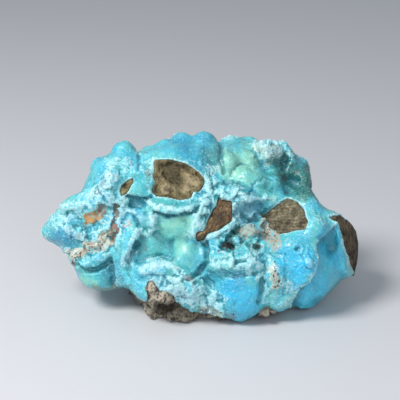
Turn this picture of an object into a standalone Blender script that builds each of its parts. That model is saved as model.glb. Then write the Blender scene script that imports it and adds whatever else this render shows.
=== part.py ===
"""A hemimorphite specimen: a blue, bubbly crust grown over broken brown host rock.

The crust is one solid. It has pockets for the matrix rock that it stands on and for the
chips of the same rock that show in its front. Sizes are in millimetres, times MM.
"""

import math
from collections import namedtuple

import bmesh
import bpy
import numpy as np
from mathutils import Matrix, Vector, noise

for old in list(bpy.data.objects):
    bpy.data.objects.remove(old)

MM = 0.001
SEED = 11

# The front is laid out on a picture plane: u runs right and v up from the AIM point, in
# millimetres, and every shape is placed on the line from the EYE through its (u, v).
EYE_DISTANCE = 450.0
EYE_RISE = math.radians(20.0)
AIM = np.array((0.0, 0.0, 36.0))
RIGHT = np.array((1.0, 0.0, 0.0))
UP = np.array((0.0, math.sin(EYE_RISE), math.cos(EYE_RISE)))
TOWARDS_EYE = np.array((0.0, -math.cos(EYE_RISE), math.sin(EYE_RISE)))
EYE = AIM + EYE_DISTANCE * TOWARDS_EYE

# How softly shapes run into each other, as the width of the fillet between them
MASS_FILLET = 5.0
LOBE_FILLET = 2.5
BUBBLE_FILLET = 1.2
HOLLOW_FILLET = 1.5
OUTLINE_FILLET = 3.0
OUTLINE_MARGIN = 0.75
FACE_FILLET = 0.6

# A broken face: how far the crust stands above the chips in it, and how steeply what
# surrounds a face rises beyond the face's outline
RIM_PROUD = 0.3
FACE_SPAN = 4.0
RIM_FLARE = 0.4
FACE_SPREAD = 0.6
STEP_FLARE = 3.0
ROCK_FILLET = 1.5

CRUST_COLOR = (0.13, 0.55, 0.68)
CRUST_ROUGHNESS = 0.4
ROCK_COLOR = (0.16, 0.12, 0.07)
ROCK_ROUGHNESS = 0.85

# The grain of the faceted solids
FIRST_VOXEL = 0.9
VOXEL = 0.75
CRUST_TRIANGLES = 6300
ROCK_TRIANGLES = 1200
JOINT_GAP = 0.35
ROCK_GAP = 0.5
CHIP_VOXEL = 0.45
CHIP_GRAIN = 5.0
CHIP_RELIEF = 0.3
CHIP_TAPER = 0.93
CRUST_CLEARANCE = 0.8
POCKET_RISE = 7.0
FRONT_ENDS = 12.0
CRUST_RELIEF = 0.3
ROCK_RELIEF = 1.0
RELIEF_GRAIN = 5.0
SLOPE_STEP = 0.15

Lump = namedtuple("Lump", "centre radii turn")
Face = namedtuple("Face", "point normal outline flare")


def seen(u, v, depth):
    """The point at y = depth that is seen at (u, v)."""
    line = AIM + u * RIGHT + v * UP - EYE
    return EYE + line * (depth - EYE[1]) / line[1]


def at_depth(u, v, depth, across, deep, high, turn=0.0):
    """An ellipsoid seen at (u, v). turn is in degrees, anticlockwise from the front."""
    return Lump(seen(u, v, depth), (across, deep, high), turn)


# The crust's main masses
MASSES = [
    at_depth(-3, -8, 3, 28, 19, 20),
    at_depth(-27, 2.3, 3, 12.5, 13, 15.5),
    at_depth(-34, -10, 1, 11, 12, 11),
    at_depth(-39.5, -3.5, 0, 9, 8, 7.5, turn=38),
    at_depth(-48.3, -10, -1, 6.5, 6, 5.6),
    at_depth(-39, -16, -1, 8.5, 8, 7, turn=-35),
    at_depth(-31, -17.5, -5, 8.5, 8, 5),
    at_depth(-33, -24, -2, 8.5, 8, 6.5),
    at_depth(-25, -15, -9, 3.6, 6, 8, turn=-20),
    at_depth(-10.7, -27.3, -15, 12.5, 8, 8),
    at_depth(-19.7, -28, -14, 4.6, 6, 6),
    at_depth(10.7, -16.7, -8, 14, 13, 14),
    at_depth(24, -26, -14, 5.5, 6.5, 11),
    at_depth(34.3, -22.7, -10, 11.5, 12.5, 15),
    at_depth(37.5, -31, -9, 12, 12, 11.5),
    at_depth(35, -7.3, 0, 12, 13, 11),
    at_depth(46, -15, 3, 9.5, 11, 13),
    at_depth(44, -22.7, -3, 10, 11, 9),
    at_depth(-10, 6, 4, 14, 13, 14),
    at_depth(0.7, 11.7, 11, 14, 11, 10),
    at_depth(15, -1.7, 3, 16, 14, 9),
    at_depth(15, 10.7, 17, 11, 12, 11.5),
    at_depth(25.3, 10, 18, 9, 11, 11),
    at_depth(32.7, 7, 18, 6.5, 8, 8),
    at_depth(0, -5, 18, 30, 14, 15),
    at_depth(-27, -5, 13, 14, 12, 12),
    at_depth(0, -20, 12, 30, 16, 10),
]

# The outline of the masses as seen from the eye, clockwise from the left tip
OUTLINE = [
    (-53, -10.3), (-50.7, -6.7), (-48.3, -3.3), (-45, -0.7), (-41.7, 1.3), (-39, 3.3),
    (-38, 6.7), (-36.3, 10.3), (-34.7, 13.3), (-31.7, 14.3), (-29, 16), (-26, 17.3),
    (-21.7, 16), (-19.3, 16.3), (-16.7, 17), (-13.3, 18), (-10, 19), (-6.7, 19.7),
    (-2.7, 20), (1.7, 19.7), (6.3, 18.7), (9.3, 19.3), (13.3, 19.3), (17.3, 19.3),
    (21.7, 18.3), (26.7, 18), (30, 16.7), (32.3, 14.3), (35.3, 12.3), (37, 8.3), (37.3, 4),
    (36.7, 1.3), (38.3, 0), (40, -2), (43.3, -3.7), (47, -5), (50, -7.7), (52.3, -10.3),
    (53, -15), (52.7, -20.7), (51.3, -25.3), (48.3, -25.7), (45, -29.3), (40.7, -33.3),
    (36.7, -36.7), (34, -37.5), (29.7, -36), (25.3, -38.2), (22.7, -38.2), (19.3, -37.9),
    (17.3, -39.2), (14.3, -40.4), (10.7, -40), (5, -39), (-3.3, -37.3), (-16.7, -35),
    (-19.7, -33.3), (-22.3, -31), (-24, -29.3),
    (-29, -30), (-33.3, -30.2), (-37.3, -29.3), (-40, -26.7), (-42.7, -21.7), (-46.7, -15.7),
    (-51.7, -13.3),
]


def ellipsoid_distance(points, lump):
    """How far each point lies outside the lump, nearly, and below 0 inside it."""
    angle = math.radians(lump.turn)
    cos, sin = math.cos(angle), math.sin(angle)
    offset = points - lump.centre
    local = np.stack(
        (
            offset[:, 0] * cos + offset[:, 2] * sin,
            offset[:, 1],
            offset[:, 2] * cos - offset[:, 0] * sin,
        ),
        axis=1,
    )
    radii = np.array(lump.radii)
    reach = np.linalg.norm(local / radii, axis=1)
    slope = np.linalg.norm(local / radii**2, axis=1)
    return reach * (reach - 1.0) / np.maximum(slope, 1e-9)


def picture_distance(points, corners):
    """How far outside a picture-plane polygon each point is seen, and below 0 within it."""
    offset = points - EYE
    along = -offset @ TOWARDS_EYE
    spot = np.stack((offset @ RIGHT, offset @ UP), axis=1) * (EYE_DISTANCE / along)[:, None]
    nearest = np.full(len(points), 1e9)
    inside = np.zeros(len(points), bool)
    corners = np.array(corners, float)
    for start, end in zip(corners, np.roll(corners, -1, axis=0)):
        edge = end - start
        from_start = spot - start
        share = np.clip(from_start @ edge / (edge @ edge), 0.0, 1.0)
        gap = from_start - share[:, None] * edge
        nearest = np.minimum(nearest, (gap * gap).sum(axis=1))
        crossed = (start[1] > spot[:, 1]) != (end[1] > spot[:, 1])
        rise = edge[1] if edge[1] else 1e-9
        crossing = start[0] + (spot[:, 1] - start[1]) * edge[0] / rise
        inside ^= crossed & (spot[:, 0] < crossing)
    return np.where(inside, -1.0, 1.0) * np.sqrt(nearest)


def soft_union(first, second, fillet):
    near = np.maximum(fillet - np.abs(first - second), 0.0) / fillet
    return np.minimum(first, second) - near * near * fillet / 4.0


def soft_cut(first, second, fillet):
    """first with second taken out of it."""
    return -soft_union(-first, second, fillet)


def with_lumps(distance, points, lumps, fillet):
    """Adds lumps to a distance, looking only at the points near each one."""
    for lump in lumps:
        near = np.linalg.norm(points - lump.centre, axis=1) < max(lump.radii) + 2.0 * fillet
        around = ellipsoid_distance(points[near], lump)
        distance[near] = soft_union(distance[near], around, fillet)
    return distance


def masses_distance(points):
    distance = np.full(len(points), 1e3)
    for lump in MASSES:
        distance = soft_union(distance, ellipsoid_distance(points, lump), MASS_FILLET)
    return within_outline(distance, points)


def within_outline(distance, points):
    outside = picture_distance(points, OUTLINE) - OUTLINE_MARGIN
    return soft_cut(distance, -outside, OUTLINE_FILLET)


def meeting_points(starts, directions):
    """Where lines from outside first meet the masses."""
    points = np.array(starts, float)
    for _ in range(40):
        points = points + 0.9 * directions * masses_distance(points)[:, None]
    return points


def front_point(u, v, proud=0.0):
    """Where the line of sight through (u, v) meets the masses, moved proud towards the eye."""
    line = AIM + u * RIGHT + v * UP - EYE
    line = line / np.linalg.norm(line)
    start = EYE + line * (EYE_DISTANCE - 60.0)
    return meeting_points(start[None], line[None])[0] - proud * line


def on_front(u, v, proud, across, deep, high, turn=0.0):
    """An ellipsoid on the front of the masses, its centre proud of their surface."""
    return Lump(front_point(u, v, proud), (across, deep, high), turn)


def direction(x, y, z):
    return np.array((x, y, z)) / math.sqrt(x * x + y * y + z * z)


CORNERS = np.array([(1, 1, 1), (1, -1, -1), (-1, 1, -1), (-1, -1, 1)]) / math.sqrt(3)


def depth_and_slope(distance, points, step=SLOPE_STEP):
    """The distance at each point and its outward direction, from four points around it."""
    around = [distance(points + step * corner) for corner in CORNERS]
    rise = sum(value[:, None] * corner for value, corner in zip(around, CORNERS))
    rise *= 0.75 / step
    steepness = np.maximum(np.linalg.norm(rise, axis=1), 1e-6)
    return sum(around) / len(CORNERS) / np.maximum(steepness, 1.0), rise / steepness[:, None]


# Chips of host rock whose broken faces show. The outline is that of the face as seen from
# the eye, clockwise; the face lies through the point and looks along the normal.
Chip = namedtuple("Chip", "name outline point normal depth triangles color")


def chip_on_front(name, outline, sunk, depth, triangles, color):
    """A chip whose face follows the slope of the masses and lies sunk under their surface."""
    point = front_point(*np.array(outline).mean(axis=0), -sunk)
    slope = depth_and_slope(masses_distance, point[None], step=FACE_SPAN)[1][0]
    return Chip(name, outline, point, slope, depth, triangles, color)


CHIPS = [
    chip_on_front(
        "rock_fragment_large",
        [
            (-14.7, 13.3), (-10, 13.2), (-5, 12), (-2.7, 10.7), (0, 8.7), (1, 7.3), (1, 5.3),
            (-0.3, 3.3), (-2.7, 2.7), (-3, 0.7), (-6.7, 0), (-10, 1), (-14.3, 1.7),
            (-15.7, 3.3), (-14.3, 6), (-15.3, 8), (-14.7, 10), (-15, 11.7),
        ],
        sunk=0.5, depth=7.0, triangles=240, color=(0.155, 0.115, 0.05),
    ),
    chip_on_front(
        "rock_fragment_slim",
        [
            (6.7, 0.7), (10.3, -0.7), (10.3, -5), (10, -7), (6.3, -9.7), (2.3, -10.7),
            (1, -12), (-1.3, -12.3), (-1, -11), (1.7, -10.3), (2.7, -7.3), (4.7, -3.3),
        ],
        sunk=0.2, depth=5.0, triangles=160, color=(0.09, 0.045, 0.02),
    ),
    chip_on_front(
        "rock_fragment_right",
        [
            (20.7, -5.7), (26, -1.7), (29, 0.5), (32, -0.7), (34, -3.3), (34.7, -5.7),
            (35.7, -7.3), (35, -9.7), (31.7, -10), (29.3, -11), (26.7, -11.3), (23.7, -9.7),
            (22.7, -7.7),
        ],
        sunk=0.5, depth=6.0, triangles=200, color=(0.13, 0.1, 0.055),
    ),
    chip_on_front(
        "rock_fragment_small",
        [
            (-22.3, 7.3), (-22.3, 6.3), (-24, 3.3), (-25, 2.2), (-26, 1.7), (-26.5, 3),
            (-26, 4.7), (-23.3, 6.7),
        ],
        sunk=0.1, depth=3.0, triangles=80, color=(0.12, 0.09, 0.03),
    ),
    Chip(
        "rock_fragment_end",
        [
            (45.7, -5.7), (47, -5.3), (50, -7.7), (52, -10.3), (52.7, -15), (52.3, -20.7),
            (51.3, -25.3), (50.3, -24), (49.7, -20.7), (48.7, -17.3), (47.7, -14.3),
            (46.7, -10),
        ],
        seen(50.2, -15, 1.3), direction(0.95, -0.31, 0.16), depth=5.0, triangles=220,
        color=(0.05, 0.035, 0.02),
    ),
]


def on_plane(u, v, point, normal):
    line = AIM + u * RIGHT + v * UP - EYE
    return EYE + line * ((point - EYE) @ normal) / (line @ normal)


# The right lobe's broken face: its outline, and how far it lies behind the crust beside it
LOBE_FACE = [
    (44.2, -9.7), (41, -12.7), (39.7, -14.3), (39.3, -16.7), (40, -20.7), (39.3, -23.3),
    (37.7, -26), (37, -27.7), (33.7, -29), (32, -31.5), (29.5, -35), (32, -39), (42, -39),
    (48.5, -31), (49, -27), (48.7, -24.3), (48, -21), (47.1, -17.6), (46.1, -14.5),
    (45.3, -11),
]
LOBE_FACE_SUNK = 1.3
LOBE_FACE_EDGE = 1.5
LOBE_FACE_ENDS = 0.0
LOBE_FACE_FADE = 6.0


def flat_faces():
    """Where the crust is broken flat: around each chip, and across the right lobe."""
    faces = []
    for chip in CHIPS:
        point = chip.point + RIM_PROUD * chip.normal
        faces.append(Face(point, chip.normal, chip.outline, RIM_FLARE))
    lobe_normal = direction(0.76, -0.64, -0.08)
    faces.append(Face(seen(41, -19, -18.6), lobe_normal, LOBE_FACE, STEP_FLARE))
    return faces


# Bowls, clefts and the undercut where the rock shows below the crust
HOLLOWS = [
    on_front(-11.3, -13.3, 2, 13, 8, 9),
    at_depth(6.3, 17.5, 13, 0.9, 8, 5),
    on_front(-20.3, -0.8, 0.3, 3.6, 5, 2.2),
    on_front(29, 6.5, 2, 4, 7, 6, turn=20),
    on_front(10, -13.3, 0.6, 1.7, 4, 5, turn=-38),
    on_front(14.5, -4.5, 2, 4.2, 3.2, 5),
    on_front(-38, -12.5, 1.5, 3, 3, 9, turn=-48),
    Lump(np.array((-14.0, -29.0, 4.0)), (7, 9, 8.5), 0),
    Lump(np.array((-2.0, -30.0, 0.0)), (13, 10.5, 8), 0),
]

LOBES = [
    at_depth(13.6, -31, -18.8, 8.6, 6, 10.5),
    on_front(-33.5, -25, -4.5, 8, 7, 5.5),
    at_depth(-26.5, -24, -10, 3.4, 5, 5.5),
    on_front(-8, -1.9, -1.0, 10, 5, 2.5),
    on_front(-19.3, 5.5, -1.0, 3.6, 4, 6),
    on_front(-8, -9, -4.4, 6.6, 5, 6.5),
    on_front(-15.5, -15.5, -5.2, 6.5, 5, 6),
    on_front(-4.2, -19, -3.4, 5.3, 5.4, 6),
    on_front(-23, -16.7, -0.3, 1.5, 3, 7, turn=-15),
    on_front(-14, -23, -0.6, 6.8, 4, 2.8, turn=3),
    on_front(-4, -28, -1.2, 6, 4, 3.6, turn=-25),
    on_front(-16, -7.5, 0.2, 1.6, 3, 3.5),
    on_front(-1, -8.5, 0.2, 2.4, 3, 5, turn=-12),
    on_front(10, -21, -0.8, 7.5, 4, 3, turn=12),
    on_front(24.3, -14, -1.5, 4.5, 4, 4.5),
    on_front(25.3, -25.5, -1.5, 4, 4, 5.5),
    on_front(26, -33, -2.5, 4.5, 4, 4),
    on_front(17.5, -22, -1, 3, 4, 5),
    on_front(9.5, 1.8, -0.5, 6, 3, 2.2),
    on_front(-42.5, -1.5, -1.5, 4.5, 4, 4),
    on_front(-36, -1.0, -1.5, 5, 4, 5.5),
    on_front(-44, -10, -1.5, 5, 4, 4.5),
    on_front(-30.5, 4.5, -1.5, 3.5, 4, 6.5, turn=-15),
    on_front(-32, -12.5, -1.3, 3.5, 4, 7, turn=-30),
    on_front(31, -15.5, -2, 4, 4, 4),
    on_front(38, -10, -1.5, 4.5, 4, 4.5),
    on_front(37, 0, -3, 5, 5, 4),
    at_depth(44.6, -9.5, -6, 3.6, 6, 6),
    at_depth(46.6, -16.5, -4, 3, 6, 6),
    at_depth(4.6, -32.8, -15.5, 6.8, 6.5, 6.0),
    at_depth(-2.2, -31.6, -15.2, 6, 7, 5.4),
    at_depth(-18.2, -30.4, -18.5, 2.5, 4.5, 2.7),
]

BUBBLES = [
    at_depth(-25.4, 15.6, 4, 4.1, 4.2, 4.2),
    at_depth(-32.3, 11.5, 3, 4, 4, 3.0),
    at_depth(-17.1, 15.8, 8, 2.5, 3, 2.2),
    at_depth(-11.7, 16.5, 7, 3.7, 4, 3.8),
    at_depth(-6, 19, 10, 3.5, 3.6, 3.7),
    at_depth(1.5, 18.3, 10, 4.3, 4.5, 4.7),
    at_depth(3.7, 13, 5, 3.2, 4, 4.8),
    at_depth(10.3, 17.3, 17, 4.4, 4.5, 4.5),
    at_depth(16.3, 17, 18, 4.3, 4.5, 4.3),
    at_depth(26.5, 16, 18, 4.2, 5, 3.8),
    at_depth(33.3, 11.8, 18, 3.2, 3, 2.8),
    on_front(8.8, 11.7, -1, 4, 4, 4.5),
    on_front(14.5, 12.3, -1.5, 4.6, 4, 4.3),
    on_front(15.5, 6, -2.5, 7, 6, 5.2),
    on_front(22, 15.3, -1, 3.8, 4, 4.6),
    on_front(23.5, 9, -0.6, 2.6, 3, 3),
    on_front(34, 6, -1, 3, 4, 4.5),
    on_front(36, -20.7, -0.5, 2.2, 2.5, 2.3),
]

# Smaller bubbles, scattered over the top, the ends and the back
SCATTER_TRIES = 420
SCATTER_CENTRE = np.array((0.0, 6.0, 26.0))
SCATTER_RADII = (2.2, 4.6)
SCATTER_TO_EYE = 0.3


def scattered_bubbles():
    chance = np.random.default_rng(SEED)
    ways = chance.normal(size=(SCATTER_TRIES, 3)) * (1.0, 0.8, 0.7)
    ways = ways / np.linalg.norm(ways, axis=1, keepdims=True)
    ways = ways[(ways @ TOWARDS_EYE < SCATTER_TO_EYE) & (ways[:, 2] > -0.45)]
    radii = chance.uniform(*SCATTER_RADII, len(ways))
    centres = meeting_points(SCATTER_CENTRE + 90.0 * ways, -ways) - 0.35 * radii[:, None] * ways
    room = -picture_distance(centres, OUTLINE)
    bubbles = []
    for centre, radius, space in zip(centres, radii, room):
        if space < radius + 0.2 or centre[2] < radius + 3.0:
            continue
        if any(np.linalg.norm(centre - b.centre) < 0.75 * (radius + b.radii[0]) for b in bubbles):
            continue
        bubbles.append(Lump(centre, (radius, radius, radius), 0))
    return bubbles


BUBBLES += scattered_bubbles()


def cut_flat(distance, points, face):
    """Takes off what stands in front of a broken face, rising away beyond its outline."""
    height = (points - face.point) @ face.normal
    beyond = np.maximum(picture_distance(points, face.outline), 0.0)
    slope = face.flare + 0.5 * FACE_SPREAD * beyond
    above = height - (face.flare + 0.25 * FACE_SPREAD * beyond) * beyond
    return soft_cut(distance, -above / np.hypot(1.0, slope), FACE_FILLET)


FACES = flat_faces()


def crust_distance(points):
    distance = masses_distance(points)
    for lump in HOLLOWS:
        distance = soft_cut(distance, ellipsoid_distance(points, lump), HOLLOW_FILLET)
    distance = with_lumps(distance, points, LOBES, LOBE_FILLET)
    inside = 0.5 - picture_distance(points, LOBE_FACE) / LOBE_FACE_EDGE
    in_front = (LOBE_FACE_ENDS - points[:, 1]) / LOBE_FACE_FADE
    distance += LOBE_FACE_SUNK * np.clip(inside, 0.0, 1.0) * np.clip(in_front, 0.0, 1.0)
    distance = within_outline(distance, points)
    distance = with_lumps(distance, points, BUBBLES, BUBBLE_FILLET)
    front = points[:, 1] < FRONT_ENDS
    for face in FACES:
        distance[front] = cut_flat(distance[front], points[front], face)
    return soft_cut(distance, points[:, 2] - CRUST_CLEARANCE, HOLLOW_FILLET)


# The matrix rock under the crust, cut flat where it rests
ROCK_LUMPS = [
    Lump(np.array((0.0, 1.0, 5.0)), (24, 19, 8), 0),
    at_depth(-6, -36.5, -14, 6.5, 5.8, 5.5),
    at_depth(-14, -34.2, -12.5, 4.6, 5, 4.6),
    at_depth(-14.6, -31.5, -18, 2.4, 3.6, 4.4),
    at_depth(-9.5, -32.5, -16.5, 5, 4.5, 3),
    at_depth(-3, -35, -15, 7, 4.5, 3.5),
    at_depth(6, -36, -14.5, 8, 5, 3),
    at_depth(-16.1, -29.1, -20.4, 1.5, 4.2, 3.0),
    at_depth(-12.9, -32, -20, 4.6, 4.6, 2.9),
    at_depth(22, -35.4, -15.5, 4, 5.8, 3),
]


def rock_distance(points):
    distance = np.full(len(points), 1e3)
    for lump in ROCK_LUMPS:
        distance = soft_union(distance, ellipsoid_distance(points, lump), ROCK_FILLET)
    return distance


def new_object(name, mesh):
    made = bpy.data.objects.new(name, mesh)
    bpy.context.scene.collection.objects.link(made)
    return made


def ball_cluster(name, lumps):
    """One icosphere for each lump, in one mesh, for the voxel remesh to join."""
    cluster = bmesh.new()
    for lump in lumps:
        place = (
            Matrix.Translation(Vector(lump.centre))
            @ Matrix.Rotation(-math.radians(lump.turn), 4, "Y")
            @ Matrix.Diagonal((*lump.radii, 1.0))
        )
        bmesh.ops.create_icosphere(cluster, subdivisions=4, radius=1.0, matrix=place)
    mesh = bpy.data.meshes.new(name)
    cluster.to_mesh(mesh)
    cluster.free()
    return new_object(name, mesh)


def apply_modifier(part, kind, **settings):
    """Runs one modifier on the object and keeps its result as the object's mesh."""
    modifier = part.modifiers.new(kind.title(), kind)
    for name, value in settings.items():
        setattr(modifier, name, value)
    graph = bpy.context.evaluated_depsgraph_get()
    result = bpy.data.meshes.new_from_object(part.evaluated_get(graph))
    old = part.data
    part.modifiers.clear()
    part.data = result
    bpy.data.meshes.remove(old)


def points_of(part):
    points = np.empty(len(part.data.vertices) * 3, np.float32)
    part.data.vertices.foreach_get("co", points)
    return points.reshape(-1, 3).astype(float)


def set_points(part, points):
    part.data.vertices.foreach_set("co", points.astype(np.float32).ravel())
    part.data.update()


def settle(part, distance, rounds=6):
    """Moves each vertex of the remeshed cluster onto the softly joined surface."""
    points = points_of(part)
    for _ in range(rounds):
        depth, slope = depth_and_slope(distance, points)
        points = points - 0.9 * np.clip(depth, -1.5, 1.5)[:, None] * slope
    set_points(part, points)


def roughen(part, distance, relief):
    """Moves the surface in and out by fractal noise."""
    points = points_of(part)
    bumps = np.array([noise.fractal(Vector(p / RELIEF_GRAIN), 1.0, 2.0, 4) for p in points])
    slope = depth_and_slope(distance, points)[1]
    set_points(part, points + relief * bumps[:, None] * slope)


def modelled(name, lumps, distance, relief, triangles):
    """The soft union of the lumps as a closed mesh of about that many triangles."""
    part = ball_cluster(name, lumps)
    apply_modifier(part, "REMESH", mode="VOXEL", voxel_size=FIRST_VOXEL)
    settle(part, distance)
    roughen(part, distance, relief)
    apply_modifier(part, "REMESH", mode="VOXEL", voxel_size=VOXEL)
    thin_out(part, triangles)
    return part


def thin_out(part, triangles):
    faces = sum(len(p.vertices) - 2 for p in part.data.polygons)
    apply_modifier(part, "DECIMATE", ratio=triangles / faces)


def rest_flat(part):
    """Cuts the part off at z = 0 and closes the cut with a flat face."""
    mesh = bmesh.new()
    mesh.from_mesh(part.data)
    everything = mesh.verts[:] + mesh.edges[:] + mesh.faces[:]
    bmesh.ops.bisect_plane(mesh, geom=everything, plane_no=(0, 0, -1), clear_outer=True)
    bmesh.ops.holes_fill(mesh, edges=[e for e in mesh.edges if e.is_boundary])
    bmesh.ops.triangulate(mesh, faces=mesh.faces[:])
    mesh.to_mesh(part.data)
    mesh.free()


def rim_of(chip):
    """The corners of the chip's broken face, clockwise."""
    return np.array([on_plane(u, v, chip.point, chip.normal) for u, v in chip.outline])


def widened(rim, normal, gap):
    """The rim moved outwards by the gap, within its own plane."""
    sides = []
    for edge in (rim - np.roll(rim, 1, axis=0), np.roll(rim, -1, axis=0) - rim):
        side = np.cross(normal, edge)
        sides.append(side / np.linalg.norm(side, axis=1, keepdims=True))
    middle = sides[0] + sides[1]
    size = np.maximum((middle * sides[0]).sum(axis=1, keepdims=True), 0.8)
    return rim + gap * middle / size


def prism(name, rim, normal, top, bottom, taper):
    """A block on the rim of a broken face, from top to bottom along the way it looks."""
    middle = rim.mean(axis=0)
    mesh = bmesh.new()
    upper = [mesh.verts.new(p + top * normal) for p in rim]
    lower = [mesh.verts.new(middle + taper * (p - middle) + bottom * normal) for p in rim]
    mesh.faces.new(upper)
    mesh.faces.new(lower)
    for i in range(len(rim)):
        mesh.faces.new((upper[i - 1], upper[i], lower[i], lower[i - 1]))
    bmesh.ops.recalc_face_normals(mesh, faces=mesh.faces[:])
    bmesh.ops.triangulate(mesh, faces=mesh.faces[:])
    data = bpy.data.meshes.new(name)
    mesh.to_mesh(data)
    mesh.free()
    return new_object(name, data)


def chip_solid(chip):
    """The chip, its face hollowed and ridged a little as broken rock is."""
    part = prism(chip.name, rim_of(chip), chip.normal, 0.0, -chip.depth, CHIP_TAPER)
    apply_modifier(part, "REMESH", mode="VOXEL", voxel_size=CHIP_VOXEL)
    points = points_of(part)
    height = (points - chip.point) @ chip.normal
    near_face = np.clip(1.0 + height / chip.depth, 0.0, 1.0)
    bumps = np.array([noise.fractal(Vector(p / CHIP_GRAIN), 1.0, 2.0, 3) for p in points])
    points += (CHIP_RELIEF * near_face * np.minimum(bumps - 0.2, 0.3))[:, None] * chip.normal
    set_points(part, points)
    thin_out(part, chip.triangles)
    return part


def cut_out(part, cutter):
    """Takes the cutter out of the part and puts the cutter away among the cutters."""
    apply_modifier(part, "BOOLEAN", operation="DIFFERENCE", solver="EXACT", object=cutter)
    cutter.hide_render = True
    cutter.display_type = "WIRE"
    bpy.context.scene.collection.objects.unlink(cutter)
    CUTTERS.objects.link(cutter)


def inflated(part, gap):
    """A copy of the part with its skin moved out by the gap and made sound again."""
    copy = new_object(part.name + "_pocket", part.data.copy())
    normals = np.empty(len(copy.data.vertices) * 3, np.float32)
    copy.data.vertices.foreach_get("normal", normals)
    set_points(copy, points_of(copy) + gap * normals.reshape(-1, 3))
    apply_modifier(copy, "REMESH", mode="VOXEL", voxel_size=VOXEL)
    thin_out(copy, ROCK_TRIANGLES)
    return copy


def paint(part, color, roughness):
    made = bpy.data.materials.new(part.name)
    made.use_nodes = True
    made.diffuse_color = (*color, 1.0)
    shader = made.node_tree.nodes["Principled BSDF"]
    shader.inputs["Base Color"].default_value = (*color, 1.0)
    shader.inputs["Roughness"].default_value = roughness
    part.data.materials.clear()
    part.data.materials.append(made)


def collection(name):
    made = bpy.data.collections.new(name)
    bpy.context.scene.collection.children.link(made)
    return made


SPECIMEN = collection("hemimorphite_specimen")
CUTTERS = collection("cutters")

rock = modelled("matrix_rock", ROCK_LUMPS, rock_distance, ROCK_RELIEF, ROCK_TRIANGLES)
rock_pocket = inflated(rock, ROCK_GAP)
rest_flat(rock)
crust = modelled(
    "hemimorphite_crust", MASSES + LOBES + BUBBLES, crust_distance, CRUST_RELIEF, CRUST_TRIANGLES
)
cut_out(crust, rock_pocket)
paint(rock, ROCK_COLOR, ROCK_ROUGHNESS)
parts = [crust, rock]
for chip in CHIPS:
    pocket = prism(
        chip.name + "_pocket", widened(rim_of(chip), chip.normal, JOINT_GAP), chip.normal,
        POCKET_RISE, -chip.depth - JOINT_GAP - CHIP_RELIEF, 1.0,
    )
    cut_out(crust, pocket)
    piece = chip_solid(chip)
    paint(piece, chip.color, ROCK_ROUGHNESS)
    parts.append(piece)
paint(crust, CRUST_COLOR, CRUST_ROUGHNESS)

for part in parts:
    part.data.transform(Matrix.Scale(MM, 4))
    bpy.context.scene.collection.objects.unlink(part)
    SPECIMEN.objects.link(part)
for cutter in CUTTERS.objects:
    cutter.data.transform(Matrix.Scale(MM, 4))
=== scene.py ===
"""The looks of a hemimorphite specimen: a bubbly blue crust with brown chips of host rock in it.

Every piece but the crystals starts from the solid it stands for. Sizes are in millimetres,
times MM.
"""

import math
from collections import namedtuple

import bmesh
import bpy
import numpy as np
from mathutils import Matrix, Vector, noise
from mathutils.bvhtree import BVHTree


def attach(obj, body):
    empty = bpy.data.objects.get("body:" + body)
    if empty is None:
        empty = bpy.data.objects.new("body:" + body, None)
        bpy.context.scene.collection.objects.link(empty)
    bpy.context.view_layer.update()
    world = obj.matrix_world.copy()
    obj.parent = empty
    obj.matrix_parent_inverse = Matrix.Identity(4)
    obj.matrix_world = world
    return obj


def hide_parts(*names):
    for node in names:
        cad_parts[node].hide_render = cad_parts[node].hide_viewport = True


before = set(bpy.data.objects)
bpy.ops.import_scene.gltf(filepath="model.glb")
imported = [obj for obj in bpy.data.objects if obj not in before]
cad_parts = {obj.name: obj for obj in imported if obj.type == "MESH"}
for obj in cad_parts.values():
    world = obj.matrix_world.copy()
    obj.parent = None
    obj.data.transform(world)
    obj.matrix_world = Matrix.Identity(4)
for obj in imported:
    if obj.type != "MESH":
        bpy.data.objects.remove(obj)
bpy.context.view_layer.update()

# The table, the light and the camera
# A plain pale table under one large soft light from the upper left, and a long lens that
# looks down at the front. What is laid out on the front below is placed as this lens sees
# it: u runs right and v up from AIM, in millimetres, at three pixels to the millimetre.
MM = 0.001
EYE_DISTANCE = 450.0
EYE_RISE = math.radians(20.0)
AIM = np.array((0.0, 0.0, 36.0))
RIGHT = np.array((1.0, 0.0, 0.0))
UP = np.array((0.0, math.sin(EYE_RISE), math.cos(EYE_RISE)))
TOWARDS_EYE = np.array((0.0, -math.cos(EYE_RISE), math.sin(EYE_RISE)))
EYE = AIM + EYE_DISTANCE * TOWARDS_EYE
PICTURE_SIZE = 400.0
PIXELS_PER_MM = 3.0
VIEW_WIDTH = PICTURE_SIZE / PIXELS_PER_MM
SENSOR_WIDTH = 36.0
TABLE_SIZE = 4000.0
TABLE_COLOR = (0.56, 0.57, 0.6)
SKY_COLOR = (0.86, 0.92, 1.0)
SKY_STRENGTH = 0.4
LIT_POINT = (0, 0, 25)


def look(thing, place, target):
    """Puts the thing at the place and turns its -Z to the target, both in millimetres."""
    thing.location = Vector(place) * MM
    way = Vector(target) - Vector(place)
    thing.rotation_euler = way.to_track_quat("-Z", "Y").to_euler()


def soft_light(name, place, width, power, color):
    """A round area light that faces the specimen."""
    lamp = bpy.data.lights.new(name, "AREA")
    lamp.shape = "DISK"
    lamp.size = width * MM
    lamp.energy = power
    lamp.color = color
    thing = bpy.data.objects.new(name, lamp)
    bpy.context.scene.collection.objects.link(thing)
    look(thing, place, LIT_POINT)


def shader_of(material):
    return material.node_tree.nodes["Principled BSDF"]


def new_material(name, roughness):
    material = bpy.data.materials.new(name)
    material.use_nodes = True
    shader_of(material).inputs["Roughness"].default_value = roughness
    return material


bpy.ops.mesh.primitive_plane_add(size=TABLE_SIZE * MM)
table = bpy.context.object
table.name = "table"
table_finish = new_material("table_finish", 0.55)
shader_of(table_finish).inputs["Base Color"].default_value = (*TABLE_COLOR, 1.0)
table.data.materials.append(table_finish)

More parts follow.
